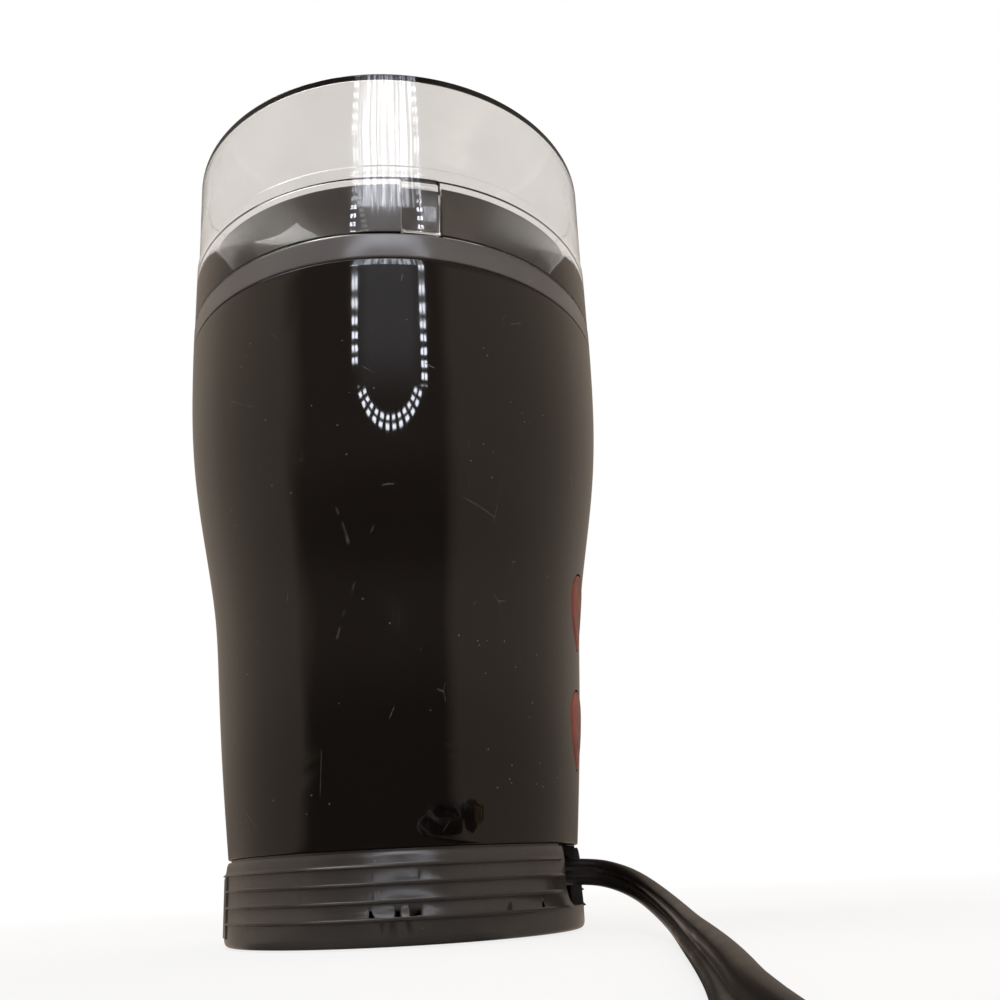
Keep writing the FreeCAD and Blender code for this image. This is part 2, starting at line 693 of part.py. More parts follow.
def make_blade_nut():
    low = BLADE_LEVEL + BLADE_SHEET / 2
    dome = spun([
        straight((0, low + 3.4), (4.4, low + 3.4)),
        bend((4.4, low + 3.4), (3.5, low + 5.2), (1.4, low + 6.0)),
        straight((1.4, low + 6.0), (0, low + 6.0)),
        straight((0, low + 6.0), (0, low + 3.4)),
    ])
    body = hexagon(9.0, low, low + 3.4).fuse(dome)
    return body.cut(cylinder(SHAFT_RADIUS + 0.02, low - 1, 147.0))


# Clear lid with its key
def make_lid():
    edges = [
        straight((LID_INSIDE, LID_RIM), (52.3, LID_RIM)),
        straight((52.3, LID_RIM), (52.6, LID_RIM + 0.3)),
        straight((52.6, LID_RIM + 0.3), (52.55, LID_STEP)),
        straight((52.55, LID_STEP), (52.05, LID_STEP + 0.5)),
        straight((52.05, LID_STEP + 0.5), (51.9, 178.0)),
        straight((51.9, 178.0), (51.2, 191.4)),
        bend((51.2, 191.4), (50.4, 193.5), (48.4, LID_TOP)),
        straight((48.4, LID_TOP), (29.0, LID_TOP)),
        straight((29.0, LID_TOP), (28.2, LID_TOP - 1.0)),
        straight((28.2, LID_TOP - 1.0), (0, LID_TOP - 1.0)),
        straight((0, LID_TOP - 1.0), (0, 191.0)),
        straight((0, 191.0), (29.0, 191.0)),
        straight((29.0, 191.0), (29.8, 192.2)),
        straight((29.8, 192.2), (46.8, 192.2)),
        bend((46.8, 192.2), (48.7, 191.4), (49.3, 189.6)),
        straight((49.3, 189.6), (49.9, 178.0)),
        straight((49.9, 178.0), (50.1, LID_STEP + 1.6)),
        straight((50.1, LID_STEP + 1.6), (LID_INSIDE, LID_STEP + 0.8)),
        straight((LID_INSIDE, LID_STEP + 0.8), (LID_INSIDE, LID_RIM)),
    ]
    body = spun(edges)
    key = block(47.3, 51.3, -KEY_HALF_WIDTH, KEY_HALF_WIDTH, 152.2, 166.4)
    corner = [edge for edge in key.Edges
              if edge.CenterOfMass.z > 166.3 and abs(edge.CenterOfMass.y) > 4.3]
    key = key.makeFillet(1.8, corner)
    return fused([body, turned(key, KEY_BEARING)])


# Interlock: the lid's key holds this rod down on its switch
def make_interlock_rod():
    pin = cylinder(ROD_RADIUS, ROD_FOOT + 1.0, ROD_TOP, ROD_SPREAD)
    foot = block(37.0, 48.9, -2.0, 2.0, ROD_FOOT, ROD_FOOT + 2.4)
    return turned(pin.fuse(foot).removeSplitter(), KEY_BEARING)


def make_interlock_spring():
    return turned(ring(2.1, 1.5, CARRIER_HIGH, ROD_FOOT, 45.2), KEY_BEARING)


def make_interlock_switch():
    case = block(35.5, 42.0, -5.0, 5.0, CARRIER_HIGH, 122.4)
    plunger = cylinder(1.2, 122.0, ROD_FOOT - FREE_GAP, 39.0)
    return turned(case.fuse(plunger).removeSplitter(), KEY_BEARING)


# Mains cord, its relief, the lead inside, the coil and the plug
def rounded_path(points):
    """Straight runs joined by tangent arcs, each as large as its runs allow."""
    nodes = [vec(*point) for point in points]
    edges, radii = [], []
    last = nodes[0]
    for before, here, after in zip(nodes, nodes[1:], nodes[2:]):
        back, ahead = before - here, after - here
        shorter = min(back.Length, ahead.Length)
        half_turn = (math.pi - back.getAngle(ahead)) / 2
        reach = 0.45 * shorter
        radius = reach / math.tan(half_turn)
        back.normalize()
        ahead.normalize()
        start, end = here + back * reach, here + ahead * reach
        middle_way = back + ahead
        middle_way.normalize()
        middle = here + middle_way * (radius / math.cos(half_turn) - radius)
        edges.append(Part.LineSegment(last, start).toShape())
        edges.append(Part.Arc(start, middle, end).toShape())
        radii.append(radius)
        last = end
    edges.append(Part.LineSegment(last, nodes[-1]).toShape())
    return edges, radii


def tube_along(edges, radius):
    path = Part.Wire(edges)
    start = path.OrderedVertexes[0].Point
    way = path.OrderedEdges[0].tangentAt(path.OrderedEdges[0].FirstParameter)
    profile = Part.Wire([Part.makeCircle(radius, start, way)])
    return path.makePipeShell([profile], True, False)


def report_tube(name, solid, edges, radius, radii):
    length = sum(edge.Length for edge in edges)
    ideal = math.pi * radius ** 2 * length
    print(f"{name}: length {length:.1f} mm, volume ratio {solid.Volume / ideal:.4f}, "
          f"valid {solid.isValid()}")
    if radii:
        print(f"{name}: radii " + ", ".join(f"{value:.1f}" for value in radii))
    return length


def coil_point(turns):
    """Point of the coil's centreline after so many turns from its start."""
    half_way = COIL_TURNS / 2
    radius = COIL_RADIUS - COIL_PITCH * (half_way - abs(turns - half_way))
    climb = min(1.0, max(0.0, (turns - half_way + 0.25) / 0.5))
    height = CORD_FLOOR + COIL_LAYER * climb * climb * (3 - 2 * climb)
    turn = math.radians(COIL_START + 360 * turns)
    return vec(COIL_CENTRE[0] + radius * math.cos(turn),
               COIL_CENTRE[1] + radius * math.sin(turn), height)


def coil_way(turns):
    """Unit direction of the coil's centreline at that place."""
    step = 1e-4
    way = coil_point(turns + step) - coil_point(turns - step)
    way.normalize()
    return way


def end_way(turns, side):
    """Direction at an end of the coil, taken on the inner side of that end."""
    step = 1e-4
    way = (coil_point(turns + side * step) - coil_point(turns)) * side
    way.normalize()
    return way


def arc_to(start, corner, end):
    middle = (start + end) * 0.5
    half_chord = (end - start).Length / 2
    lift = corner - middle
    tangent_angle = math.atan2(lift.Length, half_chord)
    lift.normalize()
    crown = middle + lift * (half_chord * math.tan(tangent_angle / 2))
    return Part.Arc(start, crown, end).toShape()


def biarc(start, start_way, end, end_direction):
    """Two arcs that leave start and reach end along the given directions."""
    gap = end - start
    ways = start_way + end_direction
    bend_part = 1 - start_way.dot(end_direction)
    along = gap.dot(ways)
    reach = (math.sqrt(along ** 2 + 2 * bend_part * gap.dot(gap)) - along) / (2 * bend_part)
    first, second = start + start_way * reach, end - end_direction * reach
    joint = (first + second) * 0.5
    return [arc_to(start, first, joint), arc_to(joint, second, end)]


def coil_edges():
    quarters = math.ceil(COIL_TURNS * 4)
    marks = [COIL_TURNS * step / quarters for step in range(quarters + 1)]
    ways = [end_way(0.0, 1)] + [coil_way(mark) for mark in marks[1:-1]] + [end_way(COIL_TURNS, -1)]
    spots = [coil_point(mark) for mark in marks]
    lead_in = spots[0] - ways[0] * (2 * CORD_TUBE)
    lead_out = spots[-1] + ways[-1] * COIL_TAIL
    edges = [Part.LineSegment(lead_in, spots[0]).toShape()]
    for index in range(quarters):
        edges += biarc(spots[index], ways[index], spots[index + 1], ways[index + 1])
    edges.append(Part.LineSegment(spots[-1], lead_out).toShape())
    return edges, lead_in, ways[0], lead_out, ways[-1]


def least_coil_gap(edges):
    """Least distance between turns, less one tube diameter, on points."""
    points, reach = [], 0.0
    for edge in edges:
        count = max(2, int(edge.Length / 2.0))
        for point in edge.discretize(count)[:-1]:
            points.append((reach, point))
            reach += edge.Length / (count - 1)
    least = 1e9
    for index, (place, point) in enumerate(points):
        for other_place, other in points[index + 1:]:
            if other_place - place > 60.0:
                least = min(least, point.distanceToPoint(other))
    return least - 2 * CORD_TUBE


def free_cord_points():
    edges, lead_in, way, lead_out, last_way = coil_edges()
    start = lead_in + way * (2 * CORD_TUBE)
    approach = start - way * COIL_APPROACH
    return list(CORD_ROUTE) + [tuple(approach), tuple(lead_in)]


def make_mains_cord():
    points = free_cord_points()
    edges, radii = rounded_path(points)
    solid = tube_along(edges, CORD_TUBE)
    report_tube("mains_cord", solid, edges, CORD_TUBE, radii)
    print("mains_cord: points " + "; ".join("%.1f %.1f %.1f" % point for point in points))
    return solid


def make_cord_coil():
    edges, lead_in, way, lead_out, last_way = coil_edges()
    solid = tube_along(edges, CORD_TUBE)
    report_tube("cord_coil", solid, edges, CORD_TUBE, [])
    print(f"cord_coil: least gap {least_coil_gap(edges):.2f} mm")
    return solid


def make_internal_lead():
    edges, radii = rounded_path(LEAD_ROUTE)
    solid = tube_along(edges, CORD_TUBE)
    report_tube("internal_lead", solid, edges, CORD_TUBE, radii)
    return solid


def make_strain_relief():
    """Tapered ribbed sleeve on the drum, spun about the cord's own line."""
    profile = [(-37.0, 3.1), (-35.2, 3.2), (-35.2, 2.7), (-34.2, 2.7), (-34.2, 3.5),
               (-32.0, 3.7), (-32.0, 3.1), (-31.0, 3.1), (-31.0, 4.0), (-28.8, 4.2),
               (-28.8, 3.5), (-27.8, 3.5), (-27.8, 4.4), (-24.0, 5.0), (-24.0, 4.0),
               (-21.4, 4.0), (-21.4, 5.0), (-19.0, 5.0), (-19.0, 3.5), (-16.4, 3.2),
               (-16.4, 2.25), (-37.0, 2.25)]
    points = [vec(0, y, CORD_HEIGHT + r) for y, r in profile]
    face = Part.Face(Part.makePolygon(points + [points[0]]))
    return face.revolve(vec(0, 0, CORD_HEIGHT), vec(0, 1, 0), 360)


def rounded_rectangle(half_width, half_height, radius, station):
    """Wire in a plane across X, with rounded corners."""
    w, h, r = half_width, half_height, radius
    k = r * (1 - math.sqrt(0.5))

    def at(y, z):
        return vec(station, y, z)

    return Part.Wire([
        Part.LineSegment(at(-w + r, -h), at(w - r, -h)).toShape(),
        Part.Arc(at(w - r, -h), at(w - k, -h + k), at(w, -h + r)).toShape(),
        Part.LineSegment(at(w, -h + r), at(w, h - r)).toShape(),
        Part.Arc(at(w, h - r), at(w - k, h - k), at(w - r, h)).toShape(),
        Part.LineSegment(at(w - r, h), at(-w + r, h)).toShape(),
        Part.Arc(at(-w + r, h), at(-w + k, h - k), at(-w, h - r)).toShape(),
        Part.LineSegment(at(-w, h - r), at(-w, -h + r)).toShape(),
        Part.Arc(at(-w, -h + r), at(-w + k, -h + k), at(-w + r, -h)).toShape(),
    ])


def at_cord_end(shape):
    """Places a piece, drawn along +X from the origin, where the coil ends."""
    edges, lead_in, way, lead_out, last_way = coil_edges()
    copy = shape.copy()
    copy.rotate(vec(0, 0, 0), vec(0, 0, 1), math.degrees(math.atan2(last_way.y, last_way.x)))
    copy.translate(lead_out)
    return copy


def make_plug_body():
    stations = ((0.0, 3.4, 3.0, 1.4), (9.0, 4.4, 3.6, 1.8), (15.0, 9.4, 5.6, 2.4),
                (21.0, 11.6, 6.6, 2.6), (33.0, 11.6, 6.9, 2.6))
    wires = [rounded_rectangle(w, h, r, x) for x, w, h, r in stations]
    body = Part.makeLoft(wires, True, True)
    for x in (2.4, 4.8, 7.2):
        body = body.cut(block(x, x + 0.9, -6, 6, 2.9, 6).fuse(block(x, x + 0.9, -6, 6, -6, -2.9)))
    return at_cord_end(body)


def make_plug_blades():
    blades = []
    for y in (-6.35, 6.35):
        blade = block(33.0, 49.5, y - 0.75, y + 0.75, -3.2, 3.2)
        tip = [edge for edge in blade.Edges
               if edge.CenterOfMass.x > 49.4 and abs(edge.CenterOfMass.z) > 3.1]
        blade = blade.makeFillet(1.4, tip)
        hole = Part.makeCylinder(1.6, 4.0, vec(45.0, y - 2, 0), vec(0, 1, 0))
        blades.append(at_cord_end(blade.cut(hole)))
    return group(blades)


PARTS = {
    "base_skirt": make_base_skirt,
    "cord_spool": make_cord_spool,
    "rubber_feet": make_rubber_feet,
    "spool_screws": make_spool_screws,
    "base_screws": make_base_screws,
    "body_shell": make_body_shell,
    "upper_button": lambda: make_button(UPPER_BUTTON_TOP),
    "lower_button": lambda: make_button(LOWER_BUTTON_TOP),
    "upper_button_spring": lambda: make_button_spring(UPPER_BUTTON_TOP),
    "lower_button_spring": lambda: make_button_spring(LOWER_BUTTON_TOP),
    "upper_switch_plunger": lambda: make_switch_plunger(UPPER_BUTTON_TOP),
    "lower_switch_plunger": lambda: make_switch_plunger(LOWER_BUTTON_TOP),
    "upper_switch": lambda: make_button_switch(UPPER_BUTTON_TOP),
    "lower_switch": lambda: make_button_switch(LOWER_BUTTON_TOP),
    "switch_bracket": make_switch_bracket,
    "bracket_screws": make_bracket_screws,
    "motor_shaft": make_motor_shaft,
    "rotor_core": make_rotor_core,
    "armature_winding": make_armature_winding,
    "commutator": make_commutator,
    "cooling_fan": make_cooling_fan,
    "stator_core": make_stator_core,
    "field_coils": make_field_coils,
    "lower_bearing_bracket": lambda: bearing_strap(LOWER_BRACKET, 30.5, 38.0),
    "upper_bearing_bracket": lambda: bearing_strap(UPPER_BRACKET, 104.6, 111.0),
    "lower_bush": lambda: bush(30.5, 38.0),
    "upper_bush": lambda: bush(104.6, 112.0),
    "spacer_tubes": make_spacer_tubes,
    "motor_bolts": make_motor_bolts,
    "motor_nuts": make_motor_nuts,
    "damping_washers": make_damping_washers,
    "brush_plate": make_brush_plate,
    "brush_holders": make_brush_holders,
    "carbon_brushes": make_carbon_brushes,
    "brush_springs": make_brush_springs,
    "motor_carrier": make_motor_carrier,
    "carrier_screws": make_carrier_screws,
    "neck_collar": make_neck_collar,
    "grinding_bowl": make_grinding_bowl,
    "shaft_seal": make_shaft_seal,
    "blade_hub": make_blade_hub,
    "blade": make_blade,
    "blade_nut": make_blade_nut,
    "lid": make_lid,
    "interlock_rod": make_interlock_rod,
    "interlock_spring": make_interlock_spring,
    "interlock_switch": make_interlock_switch,
    "strain_relief": make_strain_relief,
    "internal_lead": make_internal_lead,
    "mains_cord": make_mains_cord,
    "cord_coil": make_cord_coil,
    "plug_body": make_plug_body,
    "plug_blades": make_plug_blades,
}


def main():
    os.makedirs("parts", exist_ok=True)
    for name, make in PARTS.items():
        shape = make()
        if not shape.isValid() or not shape.Solids:
            raise ValueError(name + " isn't a valid solid")
        shape.exportStep("parts/" + name + ".step")
        print(f"{name}: {len(shape.Solids)} solids, volume {shape.Volume:.1f}")


main()
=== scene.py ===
import logging
import math
from dataclasses import dataclass
from enum import Enum
from typing import Any, Callable, Iterable, Sequence

import bmesh
import bpy
import numpy as np
from mathutils import Matrix, Vector


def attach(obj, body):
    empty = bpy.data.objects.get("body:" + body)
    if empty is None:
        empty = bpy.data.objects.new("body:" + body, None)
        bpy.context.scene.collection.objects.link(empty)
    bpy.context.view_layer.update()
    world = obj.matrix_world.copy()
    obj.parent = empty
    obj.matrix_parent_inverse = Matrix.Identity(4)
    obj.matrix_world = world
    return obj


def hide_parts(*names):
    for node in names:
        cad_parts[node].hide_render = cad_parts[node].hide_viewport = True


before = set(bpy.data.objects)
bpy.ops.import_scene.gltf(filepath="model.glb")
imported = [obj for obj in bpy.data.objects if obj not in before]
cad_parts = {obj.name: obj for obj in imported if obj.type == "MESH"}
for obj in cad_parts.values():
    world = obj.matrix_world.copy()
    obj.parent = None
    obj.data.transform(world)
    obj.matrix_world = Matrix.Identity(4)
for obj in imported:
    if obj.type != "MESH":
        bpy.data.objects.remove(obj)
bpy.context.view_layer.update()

# An electric spice grinder on a pale table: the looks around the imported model.
# Sizes are written in millimetres and become metres with MM.
MM = 0.001
FINE_STEPS = 256
WELD = 1e-6
WAVE_SCALE = 0.314  # wave texture scale that gives one band per metre
LOG = logging.getLogger("grinder")

# Outer line of the black housing: radius and height
SHELL_LINE = ((40.4, 18.6), (42.4, 40.0), (43.8, 60.0), (44.9, 74.0),
              (47.1, 88.0), (50.8, 110.0), (52.2, 126.0), (52.65, 144.0))
KEY_BEARING = math.radians(-153.3)
BUTTON_TOPS = (81.8, 53.6)
BUTTON_GAP = 0.25
CORD_LEVEL = 12.6

Colour = tuple[float, float, float]
Corner = tuple[float, ...]


class Body(str, Enum):
    """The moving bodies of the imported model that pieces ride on."""

    HOUSING = "housing"
    LID = "lid"
    ROTOR = "rotor"
    UPPER_BUTTON = "upper_button"
    LOWER_BUTTON = "lower_button"


class Cut(str, Enum):
    """Ways to combine one mesh with another."""

    TAKE_AWAY = "DIFFERENCE"
    JOIN = "UNION"
    OVERLAP = "INTERSECT"


# Shader nodes written as expressions
class Wire:
    """An output socket that takes part in arithmetic.

    Args:
        nodes: The material's nodes, which new Math nodes join.
        socket: The output socket that this object stands for.
    """

    def __init__(self, nodes: "Nodes", socket: bpy.types.NodeSocket) -> None:
        self.nodes = nodes
        self.socket = socket

    def maths(self, operation: str, *values: Any) -> "Wire":
        """Adds one Math node.

        Args:
            operation: Blender's name of the operation.
            values: Its inputs in order, numbers or wires.

        Returns:
            The node's result.
        """
        sockets = dict(enumerate(values))
        return self.nodes.add("ShaderNodeMath", {"operation": operation}, sockets)

    def __add__(self, other: Any) -> "Wire":
        """Sum with a number or wire."""
        return self.maths("ADD", self, other)

    __radd__ = __add__

    def __mul__(self, other: Any) -> "Wire":
        """Product with a number or wire."""
        return self.maths("MULTIPLY", self, other)

    __rmul__ = __mul__

    def __sub__(self, other: Any) -> "Wire":
        """Difference with a number or wire."""
        return self.maths("SUBTRACT", self, other)

    def __rsub__(self, other: Any) -> "Wire":
        """A number less this wire."""
        return self.maths("SUBTRACT", other, self)

    def __truediv__(self, other: Any) -> "Wire":
        """Quotient with a number or wire."""
        return self.maths("DIVIDE", self, other)

    def __pow__(self, other: Any) -> "Wire":
        """This wire to a power."""
        return self.maths("POWER", self, other)

    def __lt__(self, other: Any) -> "Wire":
        """1 where this wire is less than the other value, else 0."""
        return self.maths("LESS_THAN", self, other)

    def __gt__(self, other: Any) -> "Wire":
        """1 where this wire is more than the other value, else 0."""
        return self.maths("GREATER_THAN", self, other)


class Nodes:
    """The node tree of a material or of the world.

    Args:
        owner: The material or world, whose nodes are made anew.
    """

    def __init__(self, owner: bpy.types.ID) -> None:
        self.owner = owner
        owner.use_nodes = True
        self.tree = owner.node_tree
        self.tree.nodes.clear()
        self._place: Wire | None = None
        if isinstance(owner, bpy.types.World):
            self.output = self.tree.nodes.new("ShaderNodeOutputWorld")
            return
        self.shader = self.tree.nodes.new("ShaderNodeBsdfPrincipled")
        self.output = self.tree.nodes.new("ShaderNodeOutputMaterial")
        self.tree.links.new(self.shader.outputs[0], self.output.inputs[0])

    def finish(self, surface: Wire) -> None:
        """Sends a shader to the output."""
        self.tree.links.new(surface.socket, self.output.inputs[0])

    def seen(self, *rays: str) -> Wire:
        """1 for the named kinds of rays, else 0."""
        path = self.tree.nodes.new("ShaderNodeLightPath")
        wires = [Wire(self, path.outputs[ray]) for ray in rays]
        share = wires[0]
        for wire in wires[1:]:
            share = share.maths("MAXIMUM", share, wire)
        return share

    def add(self, kind: str, settings: dict[str, Any], sockets: dict[Any, Any],
            output: int | str = 0) -> Wire:
        """Adds one node of any type.

        Args:
            kind: The node's type.
            settings: Its own properties, which are set first.
            sockets: Input name or number, with its value or wire.
            output: Name or number of the output that is used.

        Returns:
            The chosen output.
        """
        node = self.tree.nodes.new(kind)
        for name, value in settings.items():
            setattr(node, name, value)
        for name, value in sockets.items():
            self.feed(node.inputs[name], value)
        return Wire(self, node.outputs[output])

    def feed(self, socket: bpy.types.NodeSocket, value: Any) -> None:
        """Links a wire to an input, or sets the input's own value."""
        if isinstance(value, Wire):
            self.tree.links.new(value.socket, socket)
        elif isinstance(value, (tuple, list)) and socket.type == "RGBA":
            socket.default_value = (*value[:3], 1.0)
        else:
            socket.default_value = value

    def set(self, **values: Any) -> None:
        """Feeds inputs of the Principled shader, with _ for a space in a name."""
        for name, value in values.items():
            self.feed(self.shader.inputs[name.replace("_", " ")], value)

    @property
    def place(self) -> Wire:
        """The surface point in the object's own coordinates, or the world's direction."""
        if self._place is None:
            world = isinstance(self.owner, bpy.types.World)
            self._place = self.add("ShaderNodeTexCoord", {}, {},
                                   "Generated" if world else "Object")
        return self._place

    def stretched(self, scale: Corner, turn: Corner = (0, 0, 0),
                  shift: Corner = (0, 0, 0)) -> Wire:
        """The surface point moved, turned and scaled along each axis."""
        return self.add("ShaderNodeMapping", {},
                        {"Vector": self.place, "Scale": scale, "Rotation": turn,
                         "Location": shift})

    def noise(self, scale: float, detail: float = 3.0, rough: float = 0.55,
              where: Wire | None = None, blur: float = 0.0) -> Wire:
        """Cloudy noise from 0 to 1 around a middle of 0.5."""
        return self.add("ShaderNodeTexNoise", {},
                        {"Vector": where or self.place, "Scale": scale, "Detail": detail,
                         "Roughness": rough, "Distortion": blur}, 0)

    def cells(self, scale: float, feature: str = "F1", where: Wire | None = None) -> Wire:
        """Distance to the nearest cell's middle or edge."""
        return self.add("ShaderNodeTexVoronoi", {"feature": feature},
                        {"Vector": where or self.place, "Scale": scale}, "Distance")

    def spread(self, value: Any, low: float, high: float, to_low: float = 0.0,
               to_high: float = 1.0) -> Wire:
        """Maps a range smoothly on another and keeps it there."""
        return self.add("ShaderNodeMapRange", {"interpolation_type": "SMOOTHSTEP"},
                        {"Value": value, "From Min": low, "From Max": high,
                         "To Min": to_low, "To Max": to_high})

    def mix(self, share: Any, first: Any, second: Any) -> Wire:
        """Mixes two colours by a share from 0 to 1."""
        node = self.tree.nodes.new("ShaderNodeMix")
        node.data_type = "RGBA"
        self.feed(node.inputs[0], share)
        self.feed(node.inputs[6], first)
        self.feed(node.inputs[7], second)
        return Wire(self, node.outputs[2])

    def parts(self, vector: Wire) -> tuple[Wire, Wire, Wire]:
        """The three numbers of a vector."""
        node = self.tree.nodes.new("ShaderNodeSeparateXYZ")
        self.feed(node.inputs[0], vector)
        return tuple(Wire(self, node.outputs[index]) for index in range(3))

    def joined(self, x: Any, y: Any, z: Any) -> Wire:
        """A vector of three numbers."""
        return self.add("ShaderNodeCombineXYZ", {}, {0: x, 1: y, 2: z})

    def round_place(self) -> Wire:
        """The surface point as radius, length of arc at 30 mm, and height."""
        x, y, z = self.parts(self.place)
        radius = (x * x + y * y) ** 0.5
        return self.joined(radius, x.maths("ARCTAN2", y, x) * 0.03, z)

    def relief(self, height: Wire, depth: float) -> Wire:
        """A bump of that depth, in millimetres, for the shader's Normal."""
        return self.add("ShaderNodeBump", {},
                        {"Strength": 1.0, "Distance": depth * MM, "Height": height})


def shade(colour: Colour, factor: float) -> Colour:
    """A colour made lighter or darker."""
    return tuple(min(1.0, part * factor) for part in colour)


@dataclass(frozen=True)
class Finish:
    """A finish that pieces share."""

    name: str
    colour: Colour
    roughness: float = 0.5

    def make(self) -> bpy.types.Material:
        """Builds the material, once.

        Returns:
            The material.
        """
        title = self.name + "_finish"
        known = bpy.data.materials.get(title)
        if known is not None:
            return known
        material = bpy.data.materials.new(title)
        self.dress(Nodes(material))
        return material

    def dress(self, nodes: Nodes) -> None:
        """Adds this finish's nodes."""
        nodes.set(Base_Color=self.colour, Roughness=self.roughness)


@dataclass(frozen=True)
class MouldedPlastic(Finish):
    """Satin or matt moulded plastic with a fine grain and faint flow marks."""

    grain: float = 0.02
    grain_size: float = 0.35
    wear: float = 0.12

    def dress(self, nodes: Nodes) -> None:
        """Adds mottled colour, uneven gloss and a fine grain."""
        cloud = nodes.noise(28.0, 4.0)
        fine = nodes.noise(1.0 / (self.grain_size * MM), 2.0)
        dust = nodes.spread(nodes.noise(700.0, 3.0, 0.7), 0.66, 0.78)
        base = nodes.mix(nodes.spread(cloud, 0.3, 0.7), shade(self.colour, 0.88),
                         shade(self.colour, 1.1))
        base = nodes.mix(dust * self.wear, base, (0.42, 0.39, 0.35))
        rough = nodes.spread(nodes.noise(60.0, 5.0, 0.6), 0.3, 0.72,
                             self.roughness - 0.03, self.roughness + 0.05)
        nodes.set(Base_Color=base, Roughness=rough,
                  Normal=nodes.relief(fine, self.grain))


@dataclass(frozen=True)
class GlossyShell(Finish):
    """Glossy black plastic that was handled: smudges, hairlines and dust."""

    def dress(self, nodes: Nodes) -> None:
        """Adds smudged gloss, hairline scratches and specks of dust."""
        smudge = nodes.spread(nodes.noise(22.0, 5.0, 0.62, blur=1.2), 0.42, 0.72)
        first = nodes.cells(34.0, "DISTANCE_TO_EDGE",
                            nodes.stretched((1.0, 1.0, 0.55), (0.4, 0.2, 0.3)))
        second = nodes.cells(61.0, "DISTANCE_TO_EDGE",
                             nodes.stretched((1.0, 1.0, 0.4), (1.1, 0.7, 0.2)))
        patch = nodes.spread(nodes.noise(85.0, 2.0), 0.6, 0.7)
        other = nodes.spread(nodes.noise(120.0, 2.0, where=nodes.stretched(
            (1, 1, 1), shift=(3.0, 1.0, 2.0))), 0.6, 0.68)
        hairline = (first < 0.0026) * patch + (second < 0.003) * other
        speck = (nodes.cells(420.0) < 0.085) * (nodes.noise(95.0, 2.0) > 0.56)
        base = nodes.mix(nodes.spread(nodes.noise(15.0, 3.0), 0.3, 0.7),
                         shade(self.colour, 0.85), shade(self.colour, 1.25))
        base = nodes.mix(hairline * 0.08 + speck * 0.2, base, (0.36, 0.33, 0.3))
        rough = self.roughness + smudge * 0.03 + hairline * 0.25 + speck * 0.4
        peel = nodes.noise(240.0, 2.0)
        nodes.set(Base_Color=base, Roughness=rough,
                  Normal=nodes.relief(peel + hairline * -0.4, 0.006))


@dataclass(frozen=True)
class ButtonPlastic(Finish):
    """Coloured satin plastic with uneven gloss."""

    def dress(self, nodes: Nodes) -> None:
        """Adds a warm mottle, a fine grain and rubbed gloss."""
        cloud = nodes.spread(nodes.noise(160.0, 4.0), 0.3, 0.7)
        base = nodes.mix(cloud, shade(self.colour, 0.8), shade(self.colour, 1.18))
        dust = nodes.spread(nodes.noise(900.0, 2.0), 0.66, 0.8)
        base = nodes.mix(dust * 0.14, base, (0.5, 0.38, 0.33))
        rough = nodes.spread(nodes.noise(300.0, 3.0), 0.3, 0.7,
                             self.roughness - 0.06, self.roughness + 0.1)
        nodes.set(Base_Color=base, Roughness=rough,
                  Normal=nodes.relief(nodes.noise(2600.0, 2.0), 0.015))


@dataclass(frozen=True)
class ClearPlastic(Finish):
    """Clear, slightly smoky plastic with faint scuffs."""

    ior: float = 1.49

    def dress(self, nodes: Nodes) -> None:
        """Adds scuffed gloss and a faint waviness to clear plastic."""
        scuff = nodes.spread(nodes.noise(40.0, 5.0, 0.65, blur=0.8), 0.5, 0.75)
        line = nodes.cells(70.0, "DISTANCE_TO_EDGE",
                           nodes.stretched((1.0, 1.0, 0.5), (0.6, 0.2, 0.9)))
        line = (line < 0.005) * nodes.spread(nodes.noise(110.0, 2.0), 0.58, 0.64)
        base = nodes.mix(scuff * 0.5, self.colour, shade(self.colour, 0.93))
        rough = self.roughness + scuff * 0.05 + line * 0.2
        nodes.set(Base_Color=base, Roughness=rough, Transmission_Weight=1.0,
                  IOR=self.ior, Normal=nodes.relief(nodes.noise(55.0, 2.0), 0.02))


@dataclass(frozen=True)
class TurnedSteel(Finish):
    """Metal brushed round the main axis."""

    brushing: float = 0.006

    def dress(self, nodes: Nodes) -> None:
        """Adds rings of fine brushing and stains."""
        rings = nodes.noise(2200.0, 3.0, 0.7, nodes.add(
            "ShaderNodeVectorMath", {"operation": "MULTIPLY"},
            {0: nodes.round_place(), 1: (1.0, 0.03, 1.0)}))
        cloud = nodes.spread(nodes.noise(45.0, 5.0, 0.6), 0.35, 0.7)
        base = nodes.mix(cloud, shade(self.colour, 0.86), self.colour)
        base = nodes.mix(rings * 0.25, base, shade(self.colour, 0.7))
        rough = self.roughness - 0.08 + rings * 0.16 + cloud * 0.05
        nodes.set(Base_Color=base, Roughness=rough, Metallic=1.0,
                  Normal=nodes.relief(rings, self.brushing))


@dataclass(frozen=True)
class PlainMetal(Finish):
    """Plated, drawn or stamped metal, brushed along one direction."""

    along: Corner = (1.0, 1.0, 0.05)
    brushing: float = 0.006

    def dress(self, nodes: Nodes) -> None:
        """Adds a drawn grain, tarnish and small nicks."""
        grain = nodes.noise(1500.0, 3.0, 0.65, nodes.stretched(self.along))
        tarnish = nodes.spread(nodes.noise(120.0, 4.0), 0.38, 0.72)
        nick = nodes.cells(520.0) < 0.06
        base = nodes.mix(tarnish, self.colour, shade(self.colour, 0.74))
        base = nodes.mix(grain * 0.2, base, shade(self.colour, 0.6))
        rough = self.roughness - 0.06 + grain * 0.14 + tarnish * 0.08
        nodes.set(Base_Color=base, Roughness=rough, Metallic=1.0,
                  Normal=nodes.relief(grain + nick * -0.5, self.brushing))


